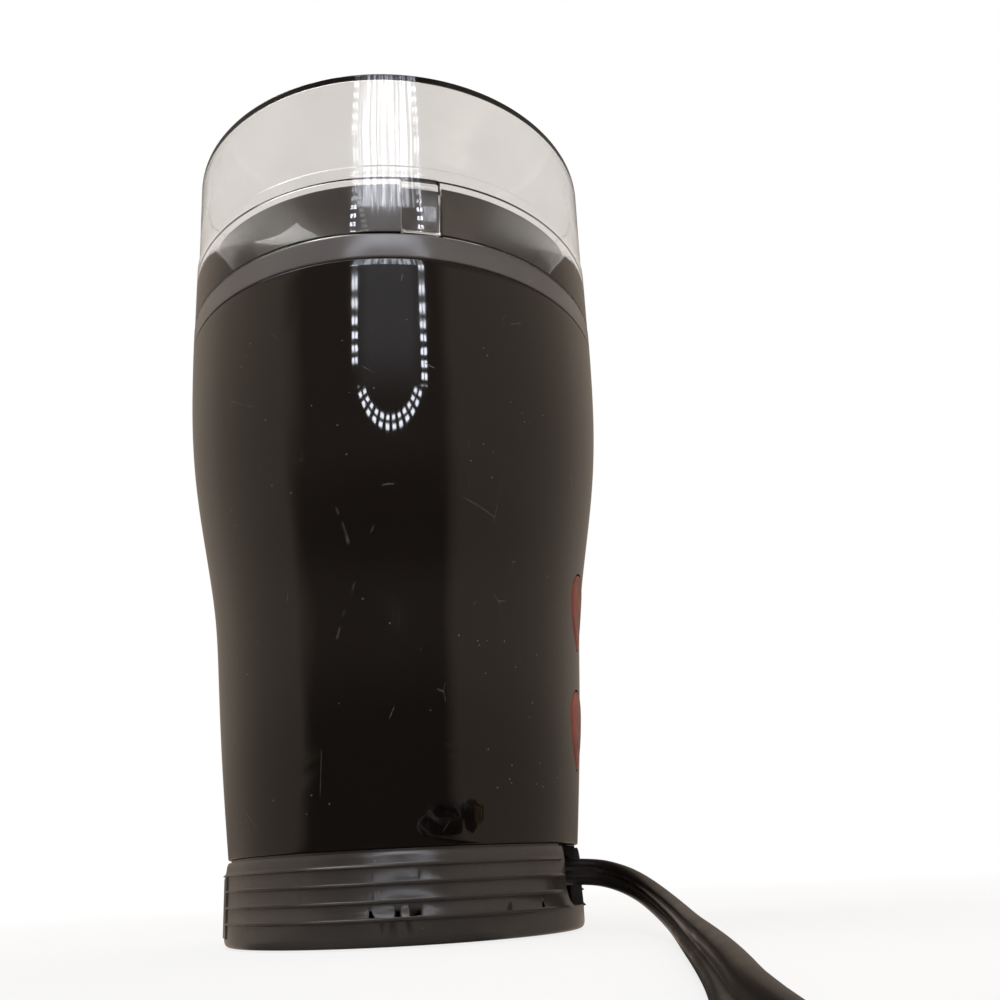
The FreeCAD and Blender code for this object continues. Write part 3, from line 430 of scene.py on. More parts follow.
@dataclass(frozen=True)
class Layered(Finish):
    """Stacked sheets or wound wire: fine bands along one axis."""

    pitch: float = 0.6
    across: Corner = (0.0, 0.0, 1.0)
    metallic: float = 0.8

    def dress(self, nodes: Nodes) -> None:
        """Adds bands of sheets or wire with varnish stains."""
        x, y, z = nodes.parts(nodes.place)
        ax, ay, az = self.across
        along = nodes.joined(x * ax + y * ay + z * az, 0.0, 0.0)
        bands = nodes.add("ShaderNodeTexWave",
                          {"wave_type": "BANDS", "bands_direction": "X"},
                          {"Vector": along, "Distortion": 1.2, "Detail": 1.0,
                           "Scale": WAVE_SCALE / (self.pitch * MM)}, "Fac")
        stain = nodes.spread(nodes.noise(90.0, 4.0), 0.35, 0.7)
        base = nodes.mix(bands, shade(self.colour, 0.5), self.colour)
        base = nodes.mix(stain * 0.35, base, shade(self.colour, 0.7))
        rough = self.roughness - 0.08 + stain * 0.15
        nodes.set(Base_Color=base, Roughness=rough, Metallic=self.metallic,
                  Normal=nodes.relief(bands, 0.12))


@dataclass(frozen=True)
class SoftSheath(Finish):
    """Soft dark PVC or rubber: dusty, with a fine matt skin."""

    dust: float = 0.1

    def dress(self, nodes: Nodes) -> None:
        """Adds a dusty skin, a soft sheen and small marks."""
        cloud = nodes.spread(nodes.noise(70.0, 4.0), 0.35, 0.7)
        fleck = nodes.spread(nodes.noise(1300.0, 3.0, 0.7), 0.6, 0.75)
        base = nodes.mix(cloud, self.colour, shade(self.colour, 1.5))
        base = nodes.mix(fleck * self.dust, base, (0.3, 0.28, 0.26))
        rough = nodes.spread(nodes.noise(90.0, 3.0), 0.3, 0.7,
                             self.roughness - 0.04, self.roughness + 0.05)
        nodes.set(Base_Color=base, Roughness=rough,
                  Normal=nodes.relief(nodes.noise(1900.0, 3.0), 0.002))


SHELL_BLACK = GlossyShell("shell_black", (0.0045, 0.0032, 0.0028), 0.03)
SKIRT_GREY = MouldedPlastic("skirt_grey", (0.04, 0.0355, 0.032), 0.2, 0.006, 0.1)
COLLAR_GREY = MouldedPlastic("collar_grey", (0.105, 0.1, 0.1), 0.2, 0.01, 0.2)
SPOOL_BLACK = MouldedPlastic("spool_black", (0.022, 0.02, 0.019), 0.5, 0.03, 0.5)
BUTTON_RED = ButtonPlastic("button_red", (0.2, 0.036, 0.024), 0.34)
LID_CLEAR = ClearPlastic("lid_clear", (0.885, 0.866, 0.844), 0.02)
BOWL_STEEL = TurnedSteel("bowl_steel", (0.66, 0.65, 0.63), 0.3)
BLADE_STEEL = PlainMetal("blade_steel", (0.62, 0.61, 0.6), 0.26, (0.08, 1.0, 1.0))
NUT_STEEL = TurnedSteel("nut_steel", (0.6, 0.6, 0.59), 0.25)
SCREW_STEEL = TurnedSteel("screw_steel", (0.5, 0.49, 0.47), 0.34)
FOOT_RUBBER = SoftSheath("foot_rubber", (0.028, 0.027, 0.026), 0.7, 0.3)
CORD_BLACK = SoftSheath("cord_black", (0.009, 0.007, 0.0065), 0.3, 0.02)
PLUG_BLACK = SoftSheath("plug_black", (0.014, 0.012, 0.011), 0.42, 0.1)
PLUG_BRASS = PlainMetal("plug_brass", (0.76, 0.6, 0.33), 0.28, (0.6, 0.6, 0.1))


# Meshes
def smooth_line(points: Sequence[Corner], per_span: int) -> list[Corner]:
    """Runs a smooth curve through a few points of a section.

    Args:
        points: Radius and height of each point, in order.
        per_span: Points given for each span.

    Returns:
        Points along the curve, ends included.
    """
    known = np.array(points, float)
    gaps = np.linalg.norm(np.diff(known, axis=0), axis=1)
    count = len(known)
    system, right = np.eye(count), np.zeros((count, 2))
    for row in range(1, count - 1):
        before, after = gaps[row - 1], gaps[row]
        system[row, row - 1:row + 2] = before, 2 * (before + after), after
        right[row] = 6 * ((known[row + 1] - known[row]) / after
                          - (known[row] - known[row - 1]) / before)
    curve = np.linalg.solve(system, right)
    line = []
    for index, gap in enumerate(gaps):
        for step in range(per_span):
            far = step / per_span
            near = 1 - far
            spot = near * known[index] + far * known[index + 1]
            spot = spot + gap * gap / 6 * ((near ** 3 - near) * curve[index]
                                           + (far ** 3 - far) * curve[index + 1])
            line.append(tuple(spot))
    return line + [tuple(known[-1])]


SHELL_CURVE = smooth_line(SHELL_LINE, 10)


def shell_radius(height: float, inset: float = 0.0) -> float:
    """Radius of the housing's outer line at a height, less an inset, in mm."""
    heights = [z for _, z in SHELL_CURVE]
    radii = [r for r, _ in SHELL_CURVE]
    return float(np.interp(height, heights, radii)) - inset


def spun(section: Sequence[Corner], steps: int = FINE_STEPS) -> bmesh.types.BMesh:
    """Spins a closed section about Z.

    Args:
        section: Radius, height and, where it is rounded, the rounding of each
            corner, in millimetres.
        steps: Steps of the full turn.

    Returns:
        A closed mesh.
    """
    mesh = bmesh.new()
    corners = [mesh.verts.new((c[0] * MM, 0, c[1] * MM)) for c in section]
    face = mesh.faces.new(corners)
    for vertex, corner in zip(corners, section):
        if len(corner) > 2:
            bmesh.ops.bevel(mesh, geom=[vertex], offset=corner[2] * MM, segments=5,
                            profile=0.5, affect="VERTICES", material=-1)
    bmesh.ops.delete(mesh, geom=list(mesh.faces), context="FACES_ONLY")
    bmesh.ops.spin(mesh, geom=list(mesh.verts) + list(mesh.edges), cent=(0, 0, 0),
                   axis=(0, 0, 1), dvec=(0, 0, 0), angle=math.tau, steps=steps,
                   use_merge=True, use_duplicate=False)
    bmesh.ops.remove_doubles(mesh, verts=list(mesh.verts), dist=1e-7)
    bmesh.ops.dissolve_degenerate(mesh, edges=list(mesh.edges), dist=1e-8)
    bmesh.ops.recalc_face_normals(mesh, faces=list(mesh.faces))
    return mesh


def block(low: Corner, high: Corner, bearing: float = 0.0,
          soft: float = 0.0) -> bmesh.types.BMesh:
    """A box between two corners, in mm, with rounded edges, turned about Z."""
    mesh = bmesh.new()
    bmesh.ops.create_cube(mesh, size=1.0)
    size = Vector(high) - Vector(low)
    bmesh.ops.scale(mesh, vec=size * MM, verts=list(mesh.verts))
    bmesh.ops.translate(mesh, vec=(Vector(low) + size / 2) * MM, verts=list(mesh.verts))
    if soft:
        bmesh.ops.bevel(mesh, geom=list(mesh.edges), offset=soft * MM, segments=3,
                        profile=0.5, affect="EDGES", material=-1)
    turn(mesh, bearing)
    return mesh


def post(radius: float, low: float, high: float, x: float = 0.0, y: float = 0.0,
         segments: int = 48) -> bmesh.types.BMesh:
    """An upright closed cylinder, in mm."""
    mesh = bmesh.new()
    bmesh.ops.create_cone(mesh, cap_ends=True, segments=segments, radius1=radius * MM,
                          radius2=radius * MM, depth=(high - low) * MM)
    bmesh.ops.translate(mesh, vec=Vector((x, y, (low + high) / 2)) * MM,
                        verts=list(mesh.verts))
    return mesh


def turn(mesh: bmesh.types.BMesh, angle: float, axis: str = "Z") -> bmesh.types.BMesh:
    """Turns a mesh about an axis through the origin."""
    bmesh.ops.rotate(mesh, cent=(0, 0, 0), matrix=Matrix.Rotation(angle, 3, axis),
                     verts=list(mesh.verts))
    return mesh


def prism(outline: Iterable[Corner], ends: Corner) -> bmesh.types.BMesh:
    """A closed prism along Y.

    Args:
        outline: X and height of each corner, in mm.
        ends: Its two ends along Y, in mm.

    Returns:
        The prism.
    """
    near, far = ends
    mesh = bmesh.new()
    face = mesh.faces.new([mesh.verts.new((x * MM, near * MM, z * MM)) for x, z in outline])
    pushed = bmesh.ops.extrude_face_region(mesh, geom=[face])
    moved = [item for item in pushed["geom"] if isinstance(item, bmesh.types.BMVert)]
    bmesh.ops.translate(mesh, vec=(0, (far - near) * MM, 0), verts=moved)
    bmesh.ops.recalc_face_normals(mesh, faces=list(mesh.faces))
    return mesh


def arc_through(start: Corner, middle: Corner, end: Corner, count: int) -> list[Corner]:
    """Points on the circle through three points, from start up to but not at end."""
    ax, az = start
    bx, bz = middle
    cx, cz = end
    double = 2 * (ax * (bz - cz) + bx * (cz - az) + cx * (az - bz))
    a2, b2, c2 = ax * ax + az * az, bx * bx + bz * bz, cx * cx + cz * cz
    ox = (a2 * (bz - cz) + b2 * (cz - az) + c2 * (az - bz)) / double
    oz = (a2 * (cx - bx) + b2 * (ax - cx) + c2 * (bx - ax)) / double
    radius = math.hypot(ax - ox, az - oz)
    first = math.atan2(az - oz, ax - ox)
    through = (math.atan2(bz - oz, bx - ox) - first) % math.tau
    last = (math.atan2(cz - oz, cx - ox) - first) % math.tau
    if through > last:
        last -= math.tau
    return [(ox + radius * math.cos(first + last * step / count),
             oz + radius * math.sin(first + last * step / count)) for step in range(count)]


def button_outline(top: float, margin: float) -> list[Corner]:
    """A round top that narrows to a soft point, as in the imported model."""
    radius, height = 6.2, 19.0
    half = radius + margin
    centre = top - radius
    tip = top - height - margin
    waist = centre - 0.45 * (centre - tip)
    blunt = 0.9 + 0.5 * margin
    line = arc_through((half, centre), (0, centre + half), (-half, centre), 32)
    line += arc_through((-half, centre), (-0.79 * half, waist), (-blunt, tip + 0.7), 20)
    line += arc_through((-blunt, tip + 0.7), (0, tip), (blunt, tip + 0.7), 8)
    line += arc_through((blunt, tip + 0.7), (0.79 * half, waist), (half, centre), 20)
    return line


def linked(name: str, data: bpy.types.ID) -> bpy.types.Object:
    """An object of that data in the scene, at the origin."""
    piece = bpy.data.objects.new(name, data)
    bpy.context.scene.collection.objects.link(piece)
    return piece


def final_mesh(piece: bpy.types.Object) -> bpy.types.Mesh:
    """A new mesh of an object's final shape."""
    bpy.context.view_layer.update()
    view = bpy.context.evaluated_depsgraph_get()
    return bpy.data.meshes.new_from_object(piece.evaluated_get(view))


def keep(name: str, mesh: bmesh.types.BMesh, finish: Finish,
         sharp: float = 32.0) -> bpy.types.Object:
    """Makes a linked object of a mesh.

    Args:
        name: The object's name.
        mesh: The mesh, which is used up.
        finish: The finish it gets.
        sharp: Edges over this many degrees stay sharp.

    Returns:
        The object, at the origin.
    """
    data = bpy.data.meshes.new(name)
    mesh.to_mesh(data)
    mesh.free()
    data.materials.append(finish.make())
    data.shade_smooth()
    data.set_sharp_from_angle(angle=math.radians(sharp))
    return linked(name, data)


def carve(piece: bpy.types.Object, cutter: bmesh.types.BMesh, how: Cut = Cut.TAKE_AWAY,
          sharp: float = 32.0) -> bpy.types.Object:
    """Cuts, joins or overlaps a piece with another mesh, which is used up."""
    data = bpy.data.meshes.new("cutter")
    cutter.to_mesh(data)
    cutter.free()
    tool = linked("cutter", data)
    change = piece.modifiers.new("carve", "BOOLEAN")
    change.operation, change.object, change.solver = how.value, tool, "EXACT"
    fresh = final_mesh(piece)
    piece.modifiers.clear()
    old, piece.data = piece.data, fresh
    bpy.data.meshes.remove(old)
    bpy.data.objects.remove(tool)
    bpy.data.meshes.remove(data)
    fresh.shade_smooth()
    fresh.set_sharp_from_angle(angle=math.radians(sharp))
    return piece


def taken(piece: bpy.types.Object) -> bmesh.types.BMesh:
    """The mesh of a piece, which is removed."""
    mesh = bmesh.new()
    mesh.from_mesh(piece.data)
    bpy.data.objects.remove(piece)
    return mesh


def copied(node: str, name: str, finish: Finish, sharp: float = 30.0,
           soft: float = 0.0) -> bpy.types.Object:
    """A merged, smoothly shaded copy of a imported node, with softened edges.

    Args:
        node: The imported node.
        name: The new piece's name.
        finish: The finish it gets.
        sharp: Edges over this many degrees stay sharp.
        soft: Width of the bevel on those edges, in mm.

    Returns:
        The new piece.
    """
    mesh = bmesh.new()
    mesh.from_mesh(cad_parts[node].data)
    bmesh.ops.remove_doubles(mesh, verts=list(mesh.verts), dist=2e-6)
    bmesh.ops.dissolve_limit(mesh, angle_limit=math.radians(0.6), verts=list(mesh.verts),
                             edges=list(mesh.edges))
    mesh.normal_update()
    if soft:
        edges = [edge for edge in mesh.edges if len(edge.link_faces) == 2
                 and edge.calc_face_angle(0.0) > math.radians(sharp)]
        bmesh.ops.bevel(mesh, geom=edges, offset=soft * MM, segments=2, profile=0.5,
                        affect="EDGES", material=-1, clamp_overlap=True)
    return keep(name, mesh, finish, sharp)


def settle(piece: bpy.types.Object, body: Body, slot: str, *nodes: str) -> None:
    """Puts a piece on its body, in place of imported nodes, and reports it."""
    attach(piece, body.value)
    if nodes:
        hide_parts(*nodes)
    LOG.info("%s: %d faces on %s", piece.name, len(piece.data.polygons), body.value)


# The photograph's camera
@dataclass(frozen=True)
class View:
    """The camera: place, axes and lens, all in the model's own frame."""

    place: Corner = (-221.84, -78.56, 12.0)
    forward: Corner = (0.93466, 0.22220, 0.27755)
    upward: Corner = (-0.25795, -0.11342, 0.95948)
    lens: float = 34.58
    sensor: float = 36.0
    lift: float = 0.1
    clips: Corner = (0.002, 20.0)

    def build(self) -> bpy.types.Object:
        """Makes the scene's camera.

        Returns:
            The camera object.
        """
        data = bpy.data.cameras.new("camera")
        data.sensor_width, data.lens = self.sensor, self.lens
        data.shift_y = self.lift
        data.clip_start, data.clip_end = self.clips
        camera = linked("camera", data)
        ahead, above = Vector(self.forward), Vector(self.upward)
        right = ahead.cross(above)
        axes = Matrix((right, above, -ahead)).transposed().to_4x4()
        camera.matrix_world = Matrix.Translation(Vector(self.place) * MM) @ axes
        bpy.context.scene.camera = camera
        return camera


@dataclass
class MainsCord:
    """The flat twin cord: exit, run over the table, coil, relief and plug."""

    width: float = 5.7
    thickness: float = 2.9
    floor: float = 1.5
    layer: float = 3.0
    centre: Corner = (-151.0, -132.5)
    radius: float = 35.5
    pitch: float = 5.9
    turns: float = 3.375
    start: float = 137.0
    tail: float = 14.0
    points_per_turn: int = 16
    overshoot: float = 0.012  # control points lie this share outside the coil
    steps_per_span: int = 10
    route: tuple = (
        (0.0, -37.0, 12.6), (0.0, -44.0, 12.5), (-4.0, -50.5, 10.9),
        (-13.0, -56.0, 8.6), (-28.0, -61.0, 6.0), (-50.0, -65.6, 4.0),
        (-78.0, -69.4, 3.1), (-106.0, -72.8, 3.0), (-130.0, -75.5, 2.8),
        (-150.0, -77.3, 2.2), (-170.0, -82.0, 1.5))
    leans: tuple = (85, 85, 84, 84, 83, 82, 80, 78, 72, 50)

    def spiral(self, turns: float) -> Vector:
        """A point of the coil after so many turns, in mm."""
        half = self.turns / 2
        radius = self.radius - self.pitch * (half - abs(turns - half))
        climb = min(1.0, max(0.0, (turns - half + 0.25) / 0.5))
        height = self.floor + self.layer * climb * climb * (3 - 2 * climb)
        angle = math.radians(self.start + 360 * turns)
        return Vector((self.centre[0] + radius * math.cos(angle),
                       self.centre[1] + radius * math.sin(angle), height))

    def heading(self) -> Vector:
        """The coil's direction at its end, level with the table."""
        way = self.spiral(self.turns) - self.spiral(self.turns - 1e-4)
        way.z = 0.0
        return way.normalized()

    def points(self) -> list[Vector]:
        """The spline's control points, in mm."""
        last = self.spiral(self.turns)
        line = [Vector(point) for point in self.route]
        count = int(self.turns * self.points_per_turn)
        middle = Vector((*self.centre, 0.0))
        for step in range(1, count + 1):
            spot = self.spiral(self.turns * step / count)
            outward = (spot - middle) * self.overshoot
            line.append(spot + Vector((outward.x, outward.y, 0.0)))
        return line + [last + self.heading() * (self.tail * share) for share in (0.5, 1.0)]

    def tilt(self, index: int) -> float:
        """Turn of the flat section: on edge at the exit, flat in the coil."""
        return math.radians(self.leans[index]) if index < len(self.leans) else 0.0

    def curve(self, name: str) -> bpy.types.Object:
        """The route as one open spline of order 3."""
        data = bpy.data.curves.new(name, "CURVE")
        data.dimensions = "3D"
        data.twist_mode = "Z_UP"
        data.resolution_u = self.steps_per_span
        spline = data.splines.new("NURBS")
        points = self.points()
        spline.points.add(len(points) - 1)
        for index, (control, point) in enumerate(zip(spline.points, points)):
            control.co = (*(point * MM), 1.0)
            control.tilt = self.tilt(index)
        spline.order_u = 3
        spline.use_endpoint_u = True
        spline.resolution_u = self.steps_per_span
        return linked(name, data)

    def read(self, curve: bpy.types.Object) -> list[Vector]:
        """The points that Blender gives for the curve with no bevel."""
        data = final_mesh(curve)
        points = [vertex.co.copy() for vertex in data.vertices]
        bpy.data.meshes.remove(data)
        return points

    def section(self) -> bpy.types.Object:
        """The twin cord's section: two round cores that meet in a valley."""
        data = bpy.data.curves.new("cord_section", "CURVE")
        data.dimensions = "2D"
        spline = data.splines.new("POLY")
        outline = []
        radius = self.thickness / 2
        reach = self.width / 2 - radius
        half_arc, steps = 148, 16
        for side in (1, -1):
            for step in range(steps + 1):
                angle = math.radians(half_arc * (2 * step / steps - 1))
                outline.append((side * (reach + radius * math.cos(angle)),
                                side * radius * math.sin(angle)))
        spline.points.add(len(outline) - 1)
        for control, (x, y) in zip(spline.points, outline):
            control.co = (x * MM, y * MM, 0.0, 1.0)
        spline.use_cyclic_u = True
        return linked("cord_section", data)

    def build(self) -> None:
        """Makes the cord, its relief and the plug."""
        line = self.curve("cord_line")
        path = self.read(line)
        section = self.section()
        line.data.bevel_mode = "OBJECT"
        line.data.bevel_object = section
        line.data.use_fill_caps = True
        data = final_mesh(line)
        bpy.data.objects.remove(line)
        bpy.data.objects.remove(section)
        mesh = bmesh.new()
        mesh.from_mesh(data)
        bpy.data.meshes.remove(data)
        bmesh.ops.remove_doubles(mesh, verts=list(mesh.verts), dist=WELD)
        bmesh.ops.recalc_face_normals(mesh, faces=list(mesh.faces))
        cord = keep("flat_cord", mesh, CORD_BLACK, 50.0)
        settle(cord, Body.HOUSING, "cord_black", "mains_cord", "cord_coil")
        length = sum((b - a).length for a, b in zip(path, path[1:]))
        LOG.info("cord: %.4f m long", length)
        self.build_relief()
        plug = self.build_plug()
        blades = copied("plug_blades", "plug_prongs", PLUG_BRASS, 30.0, 0.12)
        settle(blades, Body.HOUSING, "plug_brass", "plug_blades")

    def build_relief(self) -> None:
        """The tapered ribbed sleeve round the cord, spun about its line."""
        section = [(3.1, 37.0, 0.25), (3.2, 35.2, 0.2), (2.7, 35.0), (2.7, 34.3),
                   (3.5, 34.2, 0.3), (3.7, 32.0, 0.3), (3.1, 31.8), (3.1, 31.1),
                   (4.0, 31.0, 0.3), (4.2, 28.8, 0.3), (3.5, 28.6), (3.5, 27.9),
                   (4.4, 27.8, 0.3), (5.0, 24.0, 0.4), (4.0, 24.0), (4.0, 21.4),
                   (5.0, 21.4, 0.4), (5.0, 19.0, 0.4), (3.5, 19.0), (3.2, 16.4, 0.3),
                   (1.6, 16.4), (1.6, 37.0)]
        mesh = turn(spun(section, 64), math.radians(90), "X")
        bmesh.ops.translate(mesh, vec=(0, 0, CORD_LEVEL * MM), verts=list(mesh.verts))
        relief = keep("cord_relief", mesh, CORD_BLACK)
        settle(relief, Body.HOUSING, "cord_black", "strain_relief")

    def build_plug(self) -> bpy.types.Object:
        """The moulded plug: a grooved neck that swells to a flat-faced grip."""
        stations = ((0.0, 3.4, 3.0), (2.3, 3.55, 3.1), (2.6, 3.1, 2.7), (3.4, 3.1, 2.7),
                    (3.7, 3.7, 3.2), (4.9, 3.8, 3.3), (5.2, 3.3, 2.9), (6.0, 3.3, 2.9),
                    (6.3, 4.0, 3.4), (7.6, 4.2, 3.5), (9.5, 4.8, 3.7), (12.5, 7.6, 4.7),
                    (15.5, 9.9, 5.7), (20.0, 11.2, 6.5), (24.0, 11.5, 6.75),
                    (31.8, 11.5, 6.8), (32.6, 11.2, 6.5), (33.0, 10.6, 6.0))
        squareness = 0.62
        mesh = bmesh.new()
        loops = []
        for along, half_width, half_height in stations:
            ring = bmesh.ops.create_circle(mesh, segments=40, radius=1.0)["verts"]
            for vertex in ring:
                x, y = vertex.co.x, vertex.co.y
                wide = math.copysign(abs(x) ** squareness, x) * half_width
                tall = math.copysign(abs(y) ** squareness, y) * half_height
                vertex.co = Vector((along, wide, tall)) * MM
            loops.append(ring)
        bmesh.ops.bridge_loops(mesh, edges=list(mesh.edges))
        for ring in (loops[0], loops[-1]):
            mesh.faces.new(ring)
        bmesh.ops.recalc_face_normals(mesh, faces=list(mesh.faces))
        way = self.heading()
        turn(mesh, math.atan2(way.y, way.x))
        end = self.spiral(self.turns) + way * self.tail
        bmesh.ops.translate(mesh, vec=end * MM, verts=list(mesh.verts))
        plug = keep("plug_grip", mesh, PLUG_BLACK, 40.0)
        settle(plug, Body.HOUSING, "plug_black", "plug_body")
        return plug


@dataclass
class Base:
    """The ribbed skirt with its cord notch, the spool, feet and screws."""

    valley: float = 40.85
    ridge: float = 41.4
    panel: float = 41.15
    panel_side: float = 25.3
    boss_places: Corner = (-14.0, 14.0)
    foot_bearings: Corner = (45.0, 135.0, 225.0, 315.0)
    foot_spread: float = 25.0
    ribs: tuple = ((15.2, 12.2), (11.85, 11.5), (8.5, 10.7), (5.2, 6.6))

    def skirt(self) -> bpy.types.Object:
        """The skirt: ribs, a smooth panel at the back and the notch."""
        section = [(8.0, 18.6), (35.4, 18.6), (38.2, 15.8), (38.2, 0.3, 0.1),
                   (39.9, 0.3, 0.3), (40.6, 0.7, 0.4), (self.valley, 1.7, 0.4),
                   (self.valley, 15.4), (40.62, 17.5, 0.5), (40.35, 18.0, 0.15),
                   (39.75, 18.0), (39.75, 18.5), (38.1, 18.5), (38.1, 24.0),
                   (36.2, 24.0), (36.2, 21.0), (8.0, 21.0)]
        piece = keep("ribbed_skirt", spun(section), SKIRT_GREY)
        back = spun([(39.8, 2.2), (self.panel, 2.2, 0.25), (self.panel, 14.9, 0.25),
                     (39.8, 14.9)])
        side = block((-self.panel_side, 25.0, 0.0), (self.panel_side, 45.0, 20.0))
        plate = carve(keep("panel", back, SKIRT_GREY), side, Cut.OVERLAP)
        carve(piece, taken(plate), Cut.JOIN)
        for crest, gap in self.ribs:
            carve(piece, self.rib(crest, gap), Cut.JOIN)
        for x in self.boss_places:
            carve(piece, post(4.0, 6.0, 18.8, x), Cut.JOIN)
        return carve(piece, self.notch())

    def rib(self, crest: float, gap: float) -> bmesh.types.BMesh:
        """One rib, flared above its sharp crest and open at the notch.

        Args:
            crest: Height of the crest, in mm.
            gap: Half the width left free round the notch, in mm.

        Returns:
            A closed mesh that sinks into the skirt.
        """
        sunk, flare, height, top = 40.1, 0.59, 0.8, 0.84
        section = [(sunk, crest - 0.3), (self.valley - 0.1, crest - 0.3),
                   (self.ridge - 0.02, crest - 0.06), (self.ridge, crest + 0.04)]
        for share in (0.2, 0.4, 0.6, 0.8, 1.0):
            section.append((self.valley - 0.04 + flare * (1 - share) ** 2.2,
                            crest + 0.04 + height * share))
        section.append((sunk, crest + top))
        band = keep("rib", spun(section), SKIRT_GREY)
        carve(band, block((-gap, -46.0, crest - 1.0), (gap, -30.0, crest + 2.0)))
        if crest < 15.0:
            side = self.panel_side - 0.2
            carve(band, block((-side, 25.0, crest - 1.0), (side, 46.0, crest + 2.0)))
        return taken(band)

    def notch(self) -> bmesh.types.BMesh:
        """The wide U-shaped mouth for the cord, open at the skirt's top edge."""
        mouth, shoulder, foot = (10.1, 10.5), (8.7, 7.0), (5.6, 5.4)
        outline = [(-mouth[0], 18.7)]
        outline += arc_through((-mouth[0], mouth[1]), (-shoulder[0], shoulder[1]),
                               (-foot[0], foot[1]), 10)
        outline.append((-foot[0], foot[1]))
        outline += arc_through(foot, shoulder, mouth, 10)
        outline += [mouth, (mouth[0], 18.7)]
        return prism(outline, (-50.0, -36.0))

    def spool(self) -> bpy.types.Object:
        """The drum and its flange, with the feet's pockets and screw wells."""
        section = [(0.0, 2.3), (31.0, 2.3, 0.6), (31.0, 4.5, 0.3), (24.0, 4.5, 0.5),
                   (24.0, 18.6), (22.0, 18.6), (22.0, 4.7), (0.0, 4.7)]
        piece = keep("cord_drum", spun(section, 128), SPOOL_BLACK)
        lead = turn(post(4.05, 20.0, 26.0, 0, CORD_LEVEL), math.radians(90), "X")
        carve(piece, lead)
        for x in self.boss_places:
            carve(piece, post(5.0, 4.6, 6.0, x), Cut.JOIN)
            carve(piece, post(3.4, 0.0, 4.7, x))
        for bearing in map(math.radians, self.foot_bearings):
            x, y = math.cos(bearing) * self.foot_spread, math.sin(bearing) * self.foot_spread
            carve(piece, post(4.6, 0.0, 2.9, x, y))
        return piece

    def build(self) -> None:
        """Makes the base's pieces."""
        settle(self.skirt(), Body.HOUSING, "skirt_grey", "base_skirt")
        settle(self.spool(), Body.HOUSING, "spool_black", "cord_spool")
        feet = copied("rubber_feet", "foot_pads", FOOT_RUBBER, 30.0, 0.15)
        settle(feet, Body.HOUSING, "foot_rubber", "rubber_feet")
        for node, name in (("spool_screws", "drum_screws"),
                           ("base_screws", "plate_screws")):
            screws = copied(node, name, SCREW_STEEL, 30.0, 0.08)
            settle(screws, Body.HOUSING, "screw_steel", node)


@dataclass
class Housing:
    """The glossy barrel with its two button openings."""

    wall: float = 2.2

    def build(self) -> None:
        """Makes the barrel."""
        foot, *line, rim = SHELL_CURVE
        inner = [(shell_radius(z, self.wall), z)
                 for z in (142.6, 126, 110, 98, 88, 74, 60, 40)]
        section = [(foot[0] - self.wall, foot[1]), (*foot, 0.3), *line,
                   (*rim, 0.35), (rim[0] - self.wall, rim[1]), *inner]
        piece = keep("barrel", spun(section), SHELL_BLACK)
        for top in BUTTON_TOPS:
            carve(piece, prism(button_outline(top, 0.0), (-60.0, -30.0)))
        settle(piece, Body.HOUSING, "shell_black", "body_shell")


@dataclass
class PushButton:
    """A teardrop cap that follows the barrel, slightly crowned."""

    name: str
    top: float
    body: Body
    node: str

    def build(self) -> None:
        """Makes the cap from rings that shrink to its middle."""
        mesh = bmesh.new()
        outline = button_outline(self.top, -BUTTON_GAP)
        middle = self.top - 8.0
        rings = ((1.0, -5.0), (1.0, -0.45), (0.985, -0.12), (0.955, 0.1), (0.9, 0.24),
                 (0.78, 0.36), (0.6, 0.44), (0.4, 0.48), (0.2, 0.5))
        loops = []
        for share, proud in rings:
            loop = []
            for x, z in outline:
                px, pz = x * share, middle + (z - middle) * share
                depth = math.sqrt(shell_radius(pz) ** 2 - px * px) + proud
                loop.append(mesh.verts.new((px * MM, -depth * MM, pz * MM)))
            edges = [mesh.edges.new((a, b)) for a, b in zip(loop, loop[1:] + loop[:1])]
            loops.append(edges)
        for before, after in zip(loops, loops[1:]):
            bmesh.ops.bridge_loops(mesh, edges=before + after)
        for edges in (loops[0], loops[-1]):
            bmesh.ops.contextual_create(mesh, geom=edges)
        bmesh.ops.recalc_face_normals(mesh, faces=list(mesh.faces))
        piece = keep(self.name, mesh, BUTTON_RED, 60.0)
        settle(piece, self.body, "button_red", self.node)


@dataclass
class Collar:
    """The grey collar: flange band, neck with the keyway, and its ledge."""

    rod: float = 48.0

    def build(self) -> None:
        """Makes the collar."""
        section = [(9.0, 131.0), (49.6, 131.0, 0.3), (49.6, 144.0), (51.2, 144.0),
                   (51.2, 144.4), (52.65, 144.4, 0.3), (52.65, 150.4, 0.5),
                   (50.0, 150.4, 0.2), (50.0, 165.0, 0.6), (45.0, 165.0, 0.2),
                   (45.0, 163.0), (48.0, 163.0), (48.0, 133.4), (22.0, 133.4),
                   (22.0, 136.0, 0.3), (20.0, 136.0, 0.3), (20.0, 133.4), (9.0, 133.4)]
        piece = keep("collar", spun(section), COLLAR_GREY)
        pad = spun([(45.2, 133.0), (49.0, 133.0), (49.0, 164.0), (45.2, 164.0)], 192)
        side = block((30, -7, 130), (52, 7, 170), KEY_BEARING)
        plate = carve(keep("pad", pad, COLLAR_GREY), side, Cut.OVERLAP)
        carve(piece, taken(plate), Cut.JOIN)
        carve(piece, block((46.9, -4.8, 151.6), (53.0, 4.8, 170.0), KEY_BEARING, 0.4))
        x, y = self.rod * math.cos(KEY_BEARING), self.rod * math.sin(KEY_BEARING)
        carve(piece, post(1.36, 129.0, 153.0, x, y, 24))
        settle(piece, Body.HOUSING, "collar_grey", "neck_collar")


